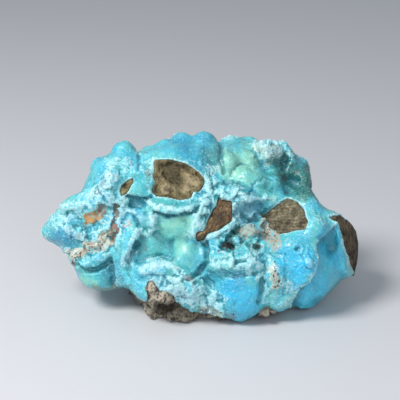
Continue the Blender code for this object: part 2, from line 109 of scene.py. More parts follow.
soft_light("key_light", (-330, -260, 520), width=260, power=4.7, color=(1.0, 0.98, 0.95))
soft_light("front_light", (120, -620, 330), width=420, power=1.2, color=(0.95, 0.98, 1.0))

world = bpy.data.worlds.new("room_light")
world.use_nodes = True
sky = world.node_tree.nodes["Background"]
sky.inputs["Color"].default_value = (*SKY_COLOR, 1.0)
sky.inputs["Strength"].default_value = SKY_STRENGTH
bpy.context.scene.world = world
bpy.context.scene.view_settings.view_transform = "Standard"

lens = bpy.data.cameras.new("camera")
lens.sensor_width = SENSOR_WIDTH
lens.lens = SENSOR_WIDTH * EYE_DISTANCE / VIEW_WIDTH
lens.clip_start = 10.0 * MM
camera = bpy.data.objects.new("camera", lens)
bpy.context.scene.collection.objects.link(camera)
look(camera, EYE, AIM)
bpy.context.scene.camera = camera

# The crust
# Hemimorphite that grew outwards over the rock as bubbles, lips and ledges, all one piece.
# Clear blue or green where it is thick and smooth, white and sugary along its edges, and
# stained by the rock where it is thin.
CRUST_GRAIN = 0.42
CRUST_TRIANGLES = 192000
EASING_ROUNDS = 12
CHIPS = [
    "rock_fragment_large",
    "rock_fragment_slim",
    "rock_fragment_right",
    "rock_fragment_small",
    "rock_fragment_end",
]
NEAR_ROCK = 5.0

Stroke = namedtuple("Stroke", "name path reach amount")
Skin = namedtuple("Skin", "points normals edges spots facing toward")


def noted(rows):
    """Strokes noted in pixels, right and down, as (u, v) to a tenth of a millimetre."""
    middle = PICTURE_SIZE / 2.0
    strokes = []
    for name, path, reach, amount in rows:
        path = [
            (round((x - middle) / PIXELS_PER_MM, 1), round((middle - y) / PIXELS_PER_MM, 1))
            for x, y in path
        ]
        strokes.append(Stroke(name, path, round(reach / PIXELS_PER_MM, 1), amount))
    return strokes


# What stands out of the front or is sunk in it: its path, how far it reaches to each side,
# and its height in millimetres
RELIEF = noted([
    ("lip under the large chip", [(148, 199), (156, 206), (166, 210), (180, 210.5), (192, 208),
        (201, 203), (208, 196)], 4.2, 1.1),
    ("line along the lip", [(153, 202), (165, 205), (180, 206), (195, 203)], 1.3, -0.4),
    ("crest left of the large chip", [(155, 158), (152, 170), (151, 184), (150, 195)], 2.4, 0.4),
    ("rim of that recess", [(124, 197), (126, 207), (133, 212), (141, 213), (147, 209)], 2.2, 0.5),
    ("groove left of the small chip", [(122, 170), (119, 182), (118, 196)], 2.5, -0.5),
    ("ridge left of the small chip", [(128, 158), (124, 170), (121, 184), (121, 196)], 2.4, 0.4),
    ("pale lens", [(144, 221), (151, 222)], 5.5, 0.7),
    ("white crest under the lens", [(137, 230), (147, 233), (157, 229)], 2.4, 0.7),
    ("ridge left of the pool", [(135, 235), (130, 245), (126, 256), (125, 265)], 2.4, 0.8),
    ("pool floor", [(150, 240), (166, 238)], 9, -0.6),
    ("lower crease of the pool", [(138, 263), (150, 258), (162, 256), (171, 260)], 2.2, -0.7),
    ("crease left of the dome", [(175, 238), (170, 246), (171, 256), (175, 264)], 2, -0.6),
    ("crest over the front", [(141, 272), (150, 265), (161, 262), (172, 266), (179, 273)], 3.2, 0.8),
    ("groove below the crest", [(140, 281), (152, 276), (166, 278), (176, 284)], 2.4, -0.6),
    ("cleft by the pink block", [(180, 272), (186, 279), (197, 283)], 1.8, -0.8),
    ("pink block", [(187, 276), (194, 279)], 3, 0.8),
    ("cleft right of the second lobe", [(128, 268), (129, 280), (131, 291)], 2, -0.8),
    ("ledge over the lower left dome", [(73, 257), (82, 264), (93, 263), (104, 257),
        (112, 252)], 3.2, 0.9),
    ("trough in the left wing", [(113, 238), (103, 246), (92, 252), (80, 262)], 3, -0.7),
    ("ochre hollow", [(89, 219), (97, 215)], 4.5, -0.7),
    ("brown hollow", [(101, 209)], 4, -0.6),
    ("rib beside the slits", [(122, 205), (121, 218), (120, 232), (118, 246)], 2.4, 0.6),
    ("tip hollow", [(62, 236), (70, 238)], 3.5, -0.5),
    ("wing pit", [(66, 214)], 2.2, -0.8),
    ("second wing pit", [(75, 227)], 2.4, -0.7),
    ("third wing pit", [(84, 229)], 2, -0.7),
    ("wing rib", [(52, 222), (62, 226), (73, 234), (84, 238)], 2.2, 0.5),
    ("upper wing rib", [(62, 208), (74, 206), (86, 203), (93, 212)], 2.4, 0.5),
    ("grey patch hollow", [(98, 193), (104, 184)], 3, -0.6),
    ("shoulder of the peak", [(113, 160), (124, 166)], 6, 0.5),
    ("first green dome", [(229, 164)], 6.5, 0.5),
    ("second green dome", [(241, 173)], 8, 0.6),
    ("third green dome", [(252, 160)], 6.5, 0.5),
    ("fourth green dome", [(250, 182)], 7.5, 0.5),
    ("blue dome", [(263, 184)], 6.5, 0.8),
    ("crease over the blue dome", [(252, 190), (257, 181), (264, 177), (272, 180)], 1.6, -0.7),
    ("crease between the domes", [(232, 176), (236, 166), (245, 164), (256, 170)], 1.8, -0.35),
    ("white crusted knob", [(268, 148), (276, 153)], 6.5, 0.6),
    ("rib right of the groove", [(285, 142), (290, 152), (293, 164)], 2.4, 0.8),
    ("terrace edge", [(216, 194), (224, 190), (234, 190), (245, 196), (254, 200)], 2.8, 0.9),
    ("groove right of the large chip", [(203, 165), (209, 172), (212, 183)], 2.2, -0.6),
    ("rib right of the large chip", [(199, 163), (207, 170), (209, 180), (206, 190)], 2, 0.6),
    ("ledge left of the slim chip", [(211, 199), (206, 210), (200, 222), (195, 232)], 2.6, 0.6),
    ("ledge below the slim chip", [(205, 240), (215, 236), (226, 229), (236, 222)], 2.2, 0.7),
    ("lip of the pit", [(215, 247), (221, 252), (229, 253), (236, 250)], 2.2, 0.7),
    ("beige ledge", [(238, 236), (247, 233), (257, 233)], 2.6, 0.9),
    ("rim of the round hollow", [(254, 244), (259, 242.5), (263, 246), (262, 252), (257, 254),
        (253, 250), (254, 244)], 1.4, 0.5),
    ("bright ridge", [(224, 262), (233, 268), (243, 265), (252, 262), (261, 266)], 3.2, 0.9),
    ("groove below the bright ridge", [(222, 272), (234, 277), (246, 276), (257, 274)], 2.6, -0.7),
    ("groove left of the tongue", [(203, 277), (213, 284), (218, 296), (223, 309)], 2.4, -0.8),
    ("left edge of the cream patch", [(266, 262), (265, 275), (267, 290)], 1.8, -0.3),
    ("right edge of the cream patch", [(286, 256), (287, 270), (285, 284), (284, 294)], 1.8, -0.4),
    ("rim of the small hollow", [(294, 246), (298, 245), (302, 248), (301, 253), (296, 253),
        (294, 246)], 1.2, 0.35),
    ("hollow near the step", [(323, 238)], 3.2, -0.4),
    ("bubble by the step", [(308, 262)], 5.5, 0.7),
    ("ring of that bubble", [(302, 257), (308, 255), (314, 259), (314, 266), (308, 269), (303, 266),
        (302, 257)], 1.2, -0.5),
    ("step low in the face", [(299, 296), (306, 292), (313, 286), (318, 288)], 2, 0.5),
])

# Deeper cracks and hollows, which run on unbroken and a quarter deeper than noted
CLEFT_GAIN = 1.25
CLEFTS = noted([
    ("crease under that lip", [(155, 212), (165, 216), (176, 215.5), (190, 212.5),
        (198, 208)], 2.2, -1.3),
    ("undercut below the teal lens", [(127, 197), (135, 198.5), (145, 199), (151, 198)], 1.8, -1.1),
    ("recess below the teal lens", [(133, 204), (141, 204)], 4.5, -0.7),
    ("cleft beside the pale lens", [(133, 216), (137, 221), (139, 227)], 1.8, -0.8),
    ("crease left of the pool", [(138, 244), (133, 252), (128, 262)], 3.2, -1.6),
    ("crease right of the dome", [(203, 238), (207, 250), (206, 262), (199, 273), (190, 278)], 2.6, -1.3),
    ("edge left of the second lobe", [(110, 260), (111, 272), (113, 285)], 2.4, -1.3),
    ("shade under that ledge", [(77, 265), (86, 271), (97, 270), (108, 264)], 2.4, -1.1),
    ("grey slit", [(117, 208), (116, 216), (113, 225)], 2, -0.7),
    ("red slit", [(116, 229), (113, 241)], 2.4, -0.6),
    ("notch by the peak", [(139, 152), (139, 162), (137, 171)], 1.8, -0.9),
    ("slot left of the green domes", [(220, 138), (222, 148), (220, 160), (224, 172)], 2.4, -1),
    ("groove right of the knob", [(281, 147), (286, 158), (284, 169)], 2.6, -1.3),
    ("dark hollow", [(287, 180), (294, 181)], 5, -1.6),
    ("first hole", [(299, 184)], 1.6, -1.1),
    ("second hole", [(304, 191)], 1.5, -1.1),
    ("groove behind the terrace", [(214, 187), (225, 183), (238, 185), (250, 191), (262, 196)], 2.8, -1),
    ("pit behind the ledge", [(240, 229), (234, 235), (230, 240)], 3.4, -2),
    ("floor of the pit", [(224, 246), (228, 247.5), (232, 244)], 3.8, -2.4),
    ("round hollow", [(258, 248)], 2.8, -2.2),
    ("groove right of the tongue", [(262, 280), (262, 292), (259, 303)], 2.4, -1),
    ("small hollow on the right lobe", [(298, 249)], 2.6, -0.8),
])
CLEFTS = [cleft._replace(amount=round(CLEFT_GAIN * cleft.amount, 1)) for cleft in CLEFTS]

# The tints, each with its share, later ones over earlier ones. The dark teal strokes along
# creases, undercuts and grooves are painted shade over the crust's teal.
TINTED = noted([
    ("deep", [(57, 236), (66, 240)], 7, 0.8),
    ("sky", [(74, 220)], 7, 0.7),
    ("teal", [(46, 232)], 7, 0.6),
    ("sky", [(120, 150), (124, 144)], 8, 0.35),
    ("sky", [(100, 165), (92, 185)], 7, 0.3),
    ("teal", [(140, 180), (145, 190)], 9, 0.75),
    ("green", [(137, 192), (128, 194)], 5, 0.45),
    # Dark teal under the teal lens and in its recess: painted shade
    ("shaded_teal", [(128, 197), (137, 198.5), (148, 198.5)], 2.4, 0.75),
    ("shaded_teal", [(133, 205), (141, 205)], 5, 0.45),
    ("grey", [(144, 221), (151, 222)], 6, 0.5),
    ("green", [(150, 240), (165, 238), (182, 228)], 15, 0.75),
    ("pale_green", [(170, 222), (186, 222)], 10, 0.6),
    ("teal", [(140, 238), (148, 244)], 8, 0.6),
    ("shaded_teal", [(138, 246), (133, 253), (129, 262)], 4.4, 0.8),
    ("shaded_teal", [(137, 219), (138, 226)], 2.2, 0.5),
    ("teal", [(160, 250), (150, 256)], 8, 0.5),
    ("green", [(186, 252)], 13, 0.65),
    ("teal", [(190, 266)], 9, 0.6),
    ("sky", [(199, 258), (197, 268)], 5, 0.45),
    ("pale_green", [(180, 248)], 6, 0.45),
    ("teal", [(152, 200), (165, 204), (180, 205), (196, 201)], 2.4, 0.7),
    ("shaded_teal", [(204, 240), (207, 250), (206, 262), (200, 272)], 3.4, 0.7),
    ("shaded_teal", [(156, 213), (166, 216), (178, 215.5), (190, 212.5)], 2.6, 0.75),
    ("shaded_teal", [(107, 266), (112, 280)], 8, 0.75),
    ("teal", [(95, 274)], 10, 0.7),
    ("pale_green", [(84, 281), (92, 285)], 5, 0.65),
    ("olive", [(92, 288), (104, 290), (114, 288)], 2.6, 0.6),
    ("deep", [(182, 143), (184, 150)], 8, 0.75),
    ("deep", [(206, 142)], 10, 0.65),
    ("shaded_teal", [(207, 156), (212, 166)], 7, 0.8),
    ("sky", [(165, 150)], 8, 0.6),
    ("sky", [(190, 158), (205, 172)], 7, 0.35),
    ("sky", [(229, 146)], 8, 0.6),
    ("pale_green", [(226, 160), (240, 170), (250, 160)], 12, 0.85),
    ("green", [(247, 143)], 7, 0.6),
    ("green", [(251, 180)], 9, 0.6),
    ("shaded_teal", [(217, 152), (218, 164)], 4.5, 0.7),
    ("pale_green", [(222, 170), (234, 178)], 6, 0.6),
    ("teal", [(262, 186), (270, 190)], 6, 0.5),
    ("teal", [(270, 170)], 6.5, 0.8),
    ("green", [(258, 172)], 5, 0.5),
    ("cream", [(262, 150), (272, 155), (280, 150)], 7.5, 0.55),
    ("shaded_teal", [(284, 150), (288, 160), (284, 170)], 4.5, 0.75),
    # Darker green round the upper right hollow and its holes: partly the crust's own green, partly
    # painted shade
    ("shaded_dark_green", [(287, 167), (294, 178), (302, 186)], 13.8, 0.95),
    ("shaded_dark_green", [(306, 172), (309, 190)], 9.6, 0.9),
    ("sky", [(295, 158), (303, 160)], 4, 0.5),
    ("brown", [(284, 179)], 3.4, 0.8),
    ("greybrown", [(297, 172)], 3, 0.5),
    ("teal", [(212, 182), (226, 184), (240, 190)], 6, 0.4),
    ("grey", [(236, 210), (248, 206), (240, 220)], 11, 0.55),
    ("deep", [(254, 208), (262, 203)], 6, 0.4),
    ("deep", [(220, 205), (214, 212)], 4, 0.3),
    # Dark green in the pit behind the ledge: painted shade
    ("shaded_dark_green", [(240, 229), (234, 236), (230, 240)], 4, 0.85),
    # Near-black on the pit floor: the rock's brown darkened with painted shade
    ("bark_and_shade", [(222, 246), (228, 248), (233, 245)], 4.2, 0.95),
    ("beige", [(240, 234), (248, 232), (257, 232)], 4, 0.75),
    ("beige", [(264, 226), (269, 236), (275, 245)], 7, 0.85),
    ("beige", [(257, 248)], 5, 0.5),
    # Near-black in the round hollow: the rock's brown darkened with painted shade
    ("bark_and_shade", [(258, 248)], 2.2, 0.8),
    ("cream", [(274, 268), (275, 276), (276, 288)], 5.5, 0.75),
    ("beige", [(277, 270), (275, 284)], 2.6, 0.5),
    ("greybrown", [(198, 310), (210, 315), (222, 315), (232, 318)], 2.6, 0.6),
    ("cream", [(204, 309), (218, 313)], 3, 0.6),
    ("sky", [(222, 282), (210, 276)], 9, 0.55),
    ("vivid", [(236, 292), (244, 306)], 15, 0.85),
    ("teal", [(222, 270), (210, 266)], 8, 0.4),
    ("deep", [(228, 286), (238, 283)], 6, 0.4),
    ("sky", [(276, 301)], 7, 0.4),
    ("vivid", [(292, 262), (300, 272), (305, 262)], 13.2, 0.9),
    ("sky", [(290, 250), (285, 275)], 7, 0.45),
    ("vivid", [(330, 240), (334, 262), (322, 284), (306, 301)], 10, 0.5),
    # Deep blue just right of the step: painted shade under its edge
    ("deep", [(324, 243), (322, 254)], 6, 0.6),
    ("deep", [(302, 298), (312, 288)], 6, 0.4),
    ("sky", [(300, 225), (320, 222)], 10, 0.2),
    ("ochre", [(89, 219), (97, 215)], 6, 0.95),
    ("olive", [(95, 212)], 2.4, 0.6),
    ("greybrown", [(101, 207), (103, 211)], 5, 0.9),
    ("ochre", [(92, 222)], 3, 0.6),
    ("greybrown", [(117, 206), (116, 216), (113, 228)], 2.6, 0.9),
    ("redbrown", [(116, 227), (112, 242)], 3.8, 0.9),
    ("greybrown", [(106, 232), (100, 238)], 3.4, 0.8),
    ("olive", [(110, 231), (104, 237)], 3.2, 0.7),
    ("greybrown", [(97, 245)], 3, 0.8),
    ("bark_and_shade", [(84, 250), (80, 254)], 3, 0.7),
    ("greybrown", [(72, 249)], 2, 0.8),
    ("greybrown", [(71, 256)], 2.2, 0.8),
    ("redbrown", [(74, 264)], 3, 0.9),
    ("cream", [(106, 241), (92, 247), (78, 252), (66, 256)], 6, 0.8),
    ("beige", [(90, 246), (82, 252), (74, 258)], 3.4, 0.7),
    ("pink", [(78, 234)], 3.4, 0.5),
    ("pink", [(128, 224)], 3.2, 0.7),
    ("pink", [(186, 277), (193, 281)], 3.5, 0.6),
    ("greybrown", [(97, 193)], 2.4, 0.8),
    ("greybrown", [(103, 184)], 2.2, 0.7),
    ("grey", [(101, 190), (106, 182), (111, 176)], 4.5, 0.7),
    ("olive", [(147, 173)], 2.4, 0.5),
    ("greybrown", [(176, 257)], 2.2, 0.45),
    ("olive", [(206, 205)], 2, 0.3),
])

# How thick the white sugary crystal lies, and how many dark specks there are
RIMED = noted([("rime", *row) for row in [
    ([(55, 220), (68, 212), (84, 206), (94, 200)], 10, 0.5),
    ([(62, 228), (78, 236), (90, 238)], 7, 0.55),
    ([(66, 250), (64, 258)], 5, 0.9),
    ([(100, 232), (112, 222), (108, 206), (112, 194)], 8, 0.55),
    ([(98, 196), (106, 184), (112, 172)], 6, 0.6),
    ([(110, 165), (118, 160), (128, 164)], 6, 0.6),
    ([(134, 148), (136, 156)], 3, 0.4),
    ([(122, 205), (124, 218), (120, 232)], 5, 0.6),
    ([(90, 258), (104, 250), (114, 244)], 6, 0.35),
    ([(150, 160), (150, 175), (148, 190)], 3.2, 0.6),
    ([(150, 202), (157, 206.5), (168, 209), (182, 209.5), (195, 206), (206, 199)], 2, 0.6),
    ([(137, 231), (147, 233), (157, 228)], 3.4, 0.95),
    ([(153, 214), (155, 226)], 3.2, 0.75),
    ([(132, 212), (125, 208), (124, 199)], 3.4, 0.6),
    ([(208, 190), (203, 205), (197, 219), (192, 233)], 6, 0.7),
    ([(214, 178), (206, 186), (216, 172), (208, 168)], 5, 0.7),
    ([(126, 258), (131, 243), (138, 234)], 3, 0.45),
    ([(123, 266), (117, 280)], 5, 0.45),
    ([(143, 270), (150, 265), (161, 262), (173, 267), (180, 274)], 4.2, 0.95),
    ([(150, 280), (165, 284), (178, 286)], 7, 0.5),
    ([(172, 284), (180, 294), (192, 299), (206, 303), (218, 307)], 8, 1),
    ([(198, 290), (214, 296)], 8, 0.8),
    ([(176, 272), (183, 283)], 4, 0.7),
    ([(226, 258), (236, 264), (246, 262), (258, 258), (262, 266)], 4.5, 0.75),
    ([(240, 272), (250, 270)], 5, 0.6),
    ([(222, 266), (214, 262)], 4, 0.5),
    ([(219, 194), (230, 191), (243, 196), (252, 199)], 3.6, 0.6),
    ([(256, 203), (266, 198), (276, 200)], 4, 0.4),
    ([(222, 207), (232, 215), (226, 226)], 6, 0.5),
    ([(205, 240), (216, 236), (228, 229)], 3, 0.6),
    ([(268, 258), (262, 280), (266, 292)], 4, 0.6),
    ([(286, 258), (288, 240), (284, 230)], 4, 0.35),
    ([(284, 284), (296, 290), (290, 300)], 5, 0.6),
    ([(304, 256), (312, 262), (306, 270)], 5, 0.55),
    ([(318, 244), (320, 262), (314, 276)], 2.6, 0.6),
    ([(336, 220), (341, 234), (345, 248), (348.5, 262)], 1.4, 0.8),
    ([(300, 252), (306, 246)], 3, 0.35),
    ([(258, 144), (268, 148), (280, 144), (276, 156)], 6, 0.7),
    ([(224, 137), (234, 136)], 3, 0.6),
    ([(292, 157), (299, 155), (306, 159)], 2.4, 0.5),
    ([(286, 144), (291, 154)], 3, 0.4),
    ([(45, 228), (50, 240)], 4, 0.25),
    ([(160, 284), (152, 290)], 5, 0.35),
    ([(268, 300), (280, 304)], 5, 0.35),
    ([(312, 214), (326, 222), (330, 230)], 6, 0.25),
]])
SPECKLED = noted([("specks", *row) for row in [
    ([(276, 264), (275, 274), (277, 288)], 6, 1),
    ([(196, 309), (212, 314), (230, 317)], 4, 0.9),
    ([(265, 228), (270, 238), (276, 244)], 6, 0.9),
    ([(262, 150), (272, 156)], 6, 0.3),
    ([(110, 236), (96, 246), (84, 252), (74, 260)], 6, 0.95),
    ([(100, 188), (106, 180)], 4, 0.5),
    ([(290, 176), (296, 180), (304, 188)], 8, 0.6),
    ([(108, 228), (104, 238)], 4, 0.5),
]])


# How far beyond its reach a stroke fades out, how soon it is full, and how far facets lean
STROKE_FADE = 1.6
STROKE_CORE = 0.75
FACET_LEAN = 0.5


def mesh_piece(name, mesh):
    piece = bpy.data.objects.new(name, mesh)
    bpy.context.scene.collection.objects.link(piece)
    return piece


def merged_copy(node):
    """A copy of a CAD node's mesh with its loose triangles joined, in millimetres."""
    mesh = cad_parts[node].data.copy()
    work = bmesh.new()
    work.from_mesh(mesh)
    bmesh.ops.remove_doubles(work, verts=work.verts[:], dist=1e-7)
    work.to_mesh(mesh)
    work.free()
    mesh.transform(Matrix.Scale(1.0 / MM, 4))
    return mesh


def run_modifier(piece, kind, **settings):
    modifier = piece.modifiers.new(kind.title(), kind)
    for name, value in settings.items():
        setattr(modifier, name, value)
    graph = bpy.context.evaluated_depsgraph_get()
    result = bpy.data.meshes.new_from_object(piece.evaluated_get(graph))
    old = piece.data
    piece.modifiers.clear()
    piece.data = result
    bpy.data.meshes.remove(old)


def read_points(mesh):
    points = np.empty(len(mesh.vertices) * 3, np.float32)
    mesh.vertices.foreach_get("co", points)
    return points.reshape(-1, 3).astype(float)


def read_normals(mesh):
    normals = np.empty(len(mesh.vertices) * 3, np.float32)
    mesh.vertex_normals.foreach_get("vector", normals)
    return normals.reshape(-1, 3).astype(float)


def write_points(mesh, points):
    mesh.vertices.foreach_set("co", points.astype(np.float32).ravel())
    mesh.update()


def seen_at(points):
    """Where the lens sees each point, as (u, v)."""
    offset = points - EYE
    along = -offset @ TOWARDS_EYE
    return np.stack((offset @ RIGHT, offset @ UP), axis=1) * (EYE_DISTANCE / along)[:, None]


def skin_of(mesh):
    """A mesh's points and edges, where the lens sees them and how squarely they face it."""
    points = read_points(mesh)
    normals = read_normals(mesh)
    edges = np.empty(len(mesh.edges) * 2, np.int32)
    mesh.edges.foreach_get("vertices", edges)
    to_eye = EYE - points
    to_eye /= np.linalg.norm(to_eye, axis=1, keepdims=True)
    toward = (normals * to_eye).sum(axis=1)
    facing = np.clip(3.0 * toward + 0.6, 0.0, 1.0)
    return Skin(points, normals, edges.reshape(-1, 2), seen_at(points), facing, toward)


def evened(values, edges, rounds):
    """The values, each round half way to the mean of their neighbours'."""
    first, second = edges.T
    size = len(values)
    count = np.bincount(first, minlength=size) + np.bincount(second, minlength=size)
    values = values.reshape(size, -1)
    for _ in range(rounds):
        around = [
            np.bincount(first, column[second], size) + np.bincount(second, column[first], size)
            for column in values.T
        ]
        values = 0.5 * values + 0.5 * np.stack(around, axis=1) / count[:, None]
    return values


def ramp(values, low, high):
    share = np.clip((values - low) / (high - low), 0.0, 1.0)
    return share * share * (3.0 - 2.0 * share)


def lumpy(points, size, octaves=3):
    """Noise from about -1 to 1 whose largest lumps are that size."""
    return np.array([noise.fractal(Vector(p), 1.0, 2.0, octaves) for p in points / size])


def knobs(points, size):
    """Round knobs of about that size, 1 at their tops and 0 where they meet."""
    near = np.array([noise.voronoi(Vector(p))[0][0] for p in points / size])
    return np.clip(1.0 - 1.6 * near * near, 0.0, 1.0)


def facets(points, size):
    """The height of flat facets of about that size, tilted at random as broken rock is."""
    middles = np.array([noise.voronoi(Vector(p))[1][0] for p in points / size])
    lean = FACET_LEAN * np.sin(37.0 * middles[:, (1, 2, 0)] + 17.0 * middles)
    return ((points - size * middles) * lean).sum(axis=1)


def path_gap(spots, path):
    """How far each spot lies from the path."""
    path = np.array(path, float)
    nearest = ((spots - path[0]) ** 2).sum(axis=1)
    for start, end in zip(path[:-1], path[1:]):
        edge = end - start
        share = np.clip((spots - start) @ edge / (edge @ edge), 0.0, 1.0)
        gap = spots - start - share[:, None] * edge
        nearest = np.minimum(nearest, (gap * gap).sum(axis=1))
    return np.sqrt(nearest)


def stroke_share(skin, stroke, ragged=0.0, wobble=None):
    """1 along the stroke's path, falling to 0 beyond its reach, with a ragged edge."""
    share = 1.0 - path_gap(skin.spots, stroke.path) / (STROKE_FADE * stroke.reach)
    if wobble is not None:
        share = share + ragged * wobble
    return ramp(share, 0.0, STROKE_CORE) * skin.facing


def warped(skin, size, shift):
    """The skin with what the lens sees pushed about, which makes straight strokes crooked."""
    push = [lumpy(skin.points + offset, size, 4) for offset in ((0, 0, 0), (37.0, 11.0, 5.0))]
    return skin._replace(spots=skin.spots + shift * np.stack(push, axis=1))


def rock_gap(points, node):
    """How far each point lies from a piece of rock, up to NEAR_ROCK."""
    mesh = merged_copy(node)
    corners = read_points(mesh)
    tree = BVHTree.FromPolygons([Vector(c) for c in corners], [p.vertices for p in mesh.polygons])
    low = corners.min(axis=0) - NEAR_ROCK
    high = corners.max(axis=0) + NEAR_ROCK
    gaps = np.full(len(points), NEAR_ROCK)
    for i in np.flatnonzero(((points > low) & (points < high)).all(axis=1)):
        found = tree.find_nearest(Vector(points[i]), NEAR_ROCK)
        if found[0] is not None:
            gaps[i] = found[3]
    bpy.data.meshes.remove(mesh)
    return gaps


crust = mesh_piece("hemimorphite", merged_copy("hemimorphite_crust"))
run_modifier(crust, "REMESH", mode="VOXEL", voxel_size=CRUST_GRAIN)
skin = skin_of(crust.data)

# The crust's surface runs smoothly except where it is broken off against a chip
chip_gap = np.min([rock_gap(skin.points, chip) for chip in CHIPS], axis=0)
base_gap = rock_gap(skin.points, "matrix_rock")
all_gap = np.minimum(chip_gap, base_gap)
free = ramp(all_gap, 0.4, 1.6)[:, None]
eased = evened(skin.points, skin.edges, EASING_ROUNDS)
write_points(crust.data, skin.points + free * (eased - skin.points))
skin = skin_of(crust.data)

SMOOTH = [
    Stroke("pool", [(-15, -14), (-8, -10)], 6.0, 0.9),
    Stroke("dome", [(-4.7, -17.3)], 5.5, 0.9),
    Stroke("teal lens", [(-19.5, 4.5)], 3.4, 0.9),
    Stroke("lower left dome", [(-37, -26), (-29, -25)], 4.5, 0.9),
    Stroke("broken face", [(43, -13), (45, -21), (40, -30), (34.5, -34.5)], 4.2, 1.0),
    Stroke("right lobe", [(30, -6), (35, -10), (32, -18)], 4.5, 0.6),
    Stroke("tongue", [(12, -30), (15, -36)], 5.0, 0.6),
    Stroke("green domes", [(9, 12), (17, 8)], 6.0, 0.5),
    Stroke("peak", [(-26, 16)], 4.0, 0.5),
    Stroke("ridge bubbles", [(-12, 16), (-6, 18.5), (2, 18), (10, 17.5)], 3.2, 0.5),
]

# The right lobe broke off along a flat face, a step behind the skin beside it. It ends
# where the end chip begins.
BROKEN_FACE = [
    (44.5, -9.3), (41.3, -12.3), (39.6, -14.3), (39.2, -16.7), (39.9, -20.7), (39.3, -23.3),
    (37.7, -26), (37, -27.7), (33.5, -29.3), (32.6, -31.7), (30.5, -35), (32, -42), (44, -42),
    (60, -30), (60, -5), (48, -4),
]
FACE_SUNK = 1.5
FACE_EDGE = 0.4
FACE_END = (49.0, 51.5)
FACE_END_LEAN = 0.31


def depth_inside(spots, corners):
    """How far each spot lies inside the corners' outline, below 0 outside it."""
    inside = np.zeros(len(spots), bool)
    corners = np.array(corners, float)
    for start, end in zip(corners, np.roll(corners, -1, axis=0)):
        crossed = (start[1] > spots[:, 1]) != (end[1] > spots[:, 1])
        rise = (end[1] - start[1]) or 1e-9
        crossing = start[0] + (spots[:, 1] - start[1]) * (end[0] - start[0]) / rise
        inside ^= crossed & (spots[:, 0] < crossing)
    gap = path_gap(spots, [*corners, corners[0]])
    return np.where(inside, gap, -gap)


crooked = warped(skin, 4.0, 0.9)
slightly = warped(skin, 2.5, 0.35)
face_depth = depth_inside(slightly.spots, BROKEN_FACE)
past_end = ramp(skin.spots[:, 0] - FACE_END_LEAN * skin.spots[:, 1], *FACE_END)
in_front = skin.facing * (1.0 - past_end)
on_face = ramp(face_depth, -FACE_EDGE, FACE_EDGE) * in_front
face_rim = ramp(face_depth, -1.8, -0.4) * (1.0 - ramp(face_depth, -0.3, 0.2)) * in_front
face_shade = on_face * (1.0 - ramp(face_depth, 0.5, 4.5))
broken = 0.75 + 0.6 * lumpy(skin.points, 3.0, 3)
calm = np.max([s.amount * stroke_share(skin, s) for s in SMOOTH], axis=0)
height = np.zeros(len(skin.points))
for stroke in RELIEF:
    height += stroke.amount * stroke_share(crooked, stroke)
height *= ramp(chip_gap, 0.3, 1.2) * np.clip(broken, 0.3, 1.3)
for stroke in CLEFTS:
    height += stroke.amount * stroke_share(slightly, stroke) * ramp(chip_gap, 0.3, 0.9)
height *= ramp(skin.toward, 0.0, 0.35)
height -= FACE_SUNK * on_face * ramp(chip_gap, 0.5, 1.8)

# Round bubbles along the top, as (u, v, depth, radius), with a crease where two meet, and
# a low lip of crust round each chip
RIDGE = [
    (-25.4, 15.6, 4.0, 4.1), (-11.7, 16.5, 7.0, 3.8), (-6.0, 19.0, 10.0, 3.6),
    (1.5, 18.3, 10.0, 4.5), (3.7, 13.0, 5.0, 3.8), (10.3, 17.3, 17.0, 4.4),
    (16.3, 17.0, 18.0, 4.3), (26.5, 16.0, 18.0, 4.3),
]
RIDGE_CREASE = 1.1
LIP_HEIGHT = 0.12


def ridge_crease(points):
    """1 in the creases between neighbouring bubbles of the ridge."""
    gaps = []
    for u, v, depth, radius in RIDGE:
        middle = AIM + (u * RIGHT + v * UP) * (1.0 + depth / EYE_DISTANCE) - depth * TOWARDS_EYE
        gaps.append(np.linalg.norm(points - middle, axis=1) - radius)
    nearest, second = np.sort(gaps, axis=0)[:2]
    return (1.0 - ramp(second - nearest, 0.0, 1.3)) * (1.0 - ramp(second, 0.8, 2.4))


height -= RIDGE_CREASE * ridge_crease(skin.points) * free[:, 0]
lip = ramp(chip_gap, 0.3, 0.6) * (1.0 - ramp(chip_gap, 0.7, 1.5))
height += LIP_HEIGHT * lip * skin.facing
write_points(crust.data, skin.points + height[:, None] * skin.normals)
skin = skin_of(crust.data)

# Where the crust is cracked into angular blocks
ANGULAR = [
    Stroke("middle", [(5, -1), (13, -3), (18, -9), (12, -16)], 6.0, 1.0),
    Stroke("left slits", [(-33, 4), (-29, -5), (-31, -13), (-40, -17)], 4.0, 0.5),
    Stroke("white knob", [(21, 17), (26, 15)], 4.0, 0.5),
    Stroke("front", [(-8, -27), (0, -33), (8, -37)], 4.0, 0.5),
    Stroke("left wing", [(-46, -6), (-40, -10)], 5.0, 0.3),
]

# Knobs and grain, least on the clear smooth places and most on the white edges, with
# rounder and larger knobs on the back
MOTTLE_SIZE = 6.0
WAVE_SIZE = 2.4
WAVE_HEIGHT = 0.15
KNOB_SIZE = 2.7
KNOB_HEIGHT = 0.16
FOLD_SIZE = 2.0
FOLD_HEIGHT = 0.08
SUGAR_SIZE = 1.1
SUGAR_HEIGHT = 0.06
BLOCK_SIZE = 3.8
SPLINTER_SIZE = 1.7
BACK_KNOBS = ((7.5, 1.3, 0.8), (4.0, 0.5, 0.0))

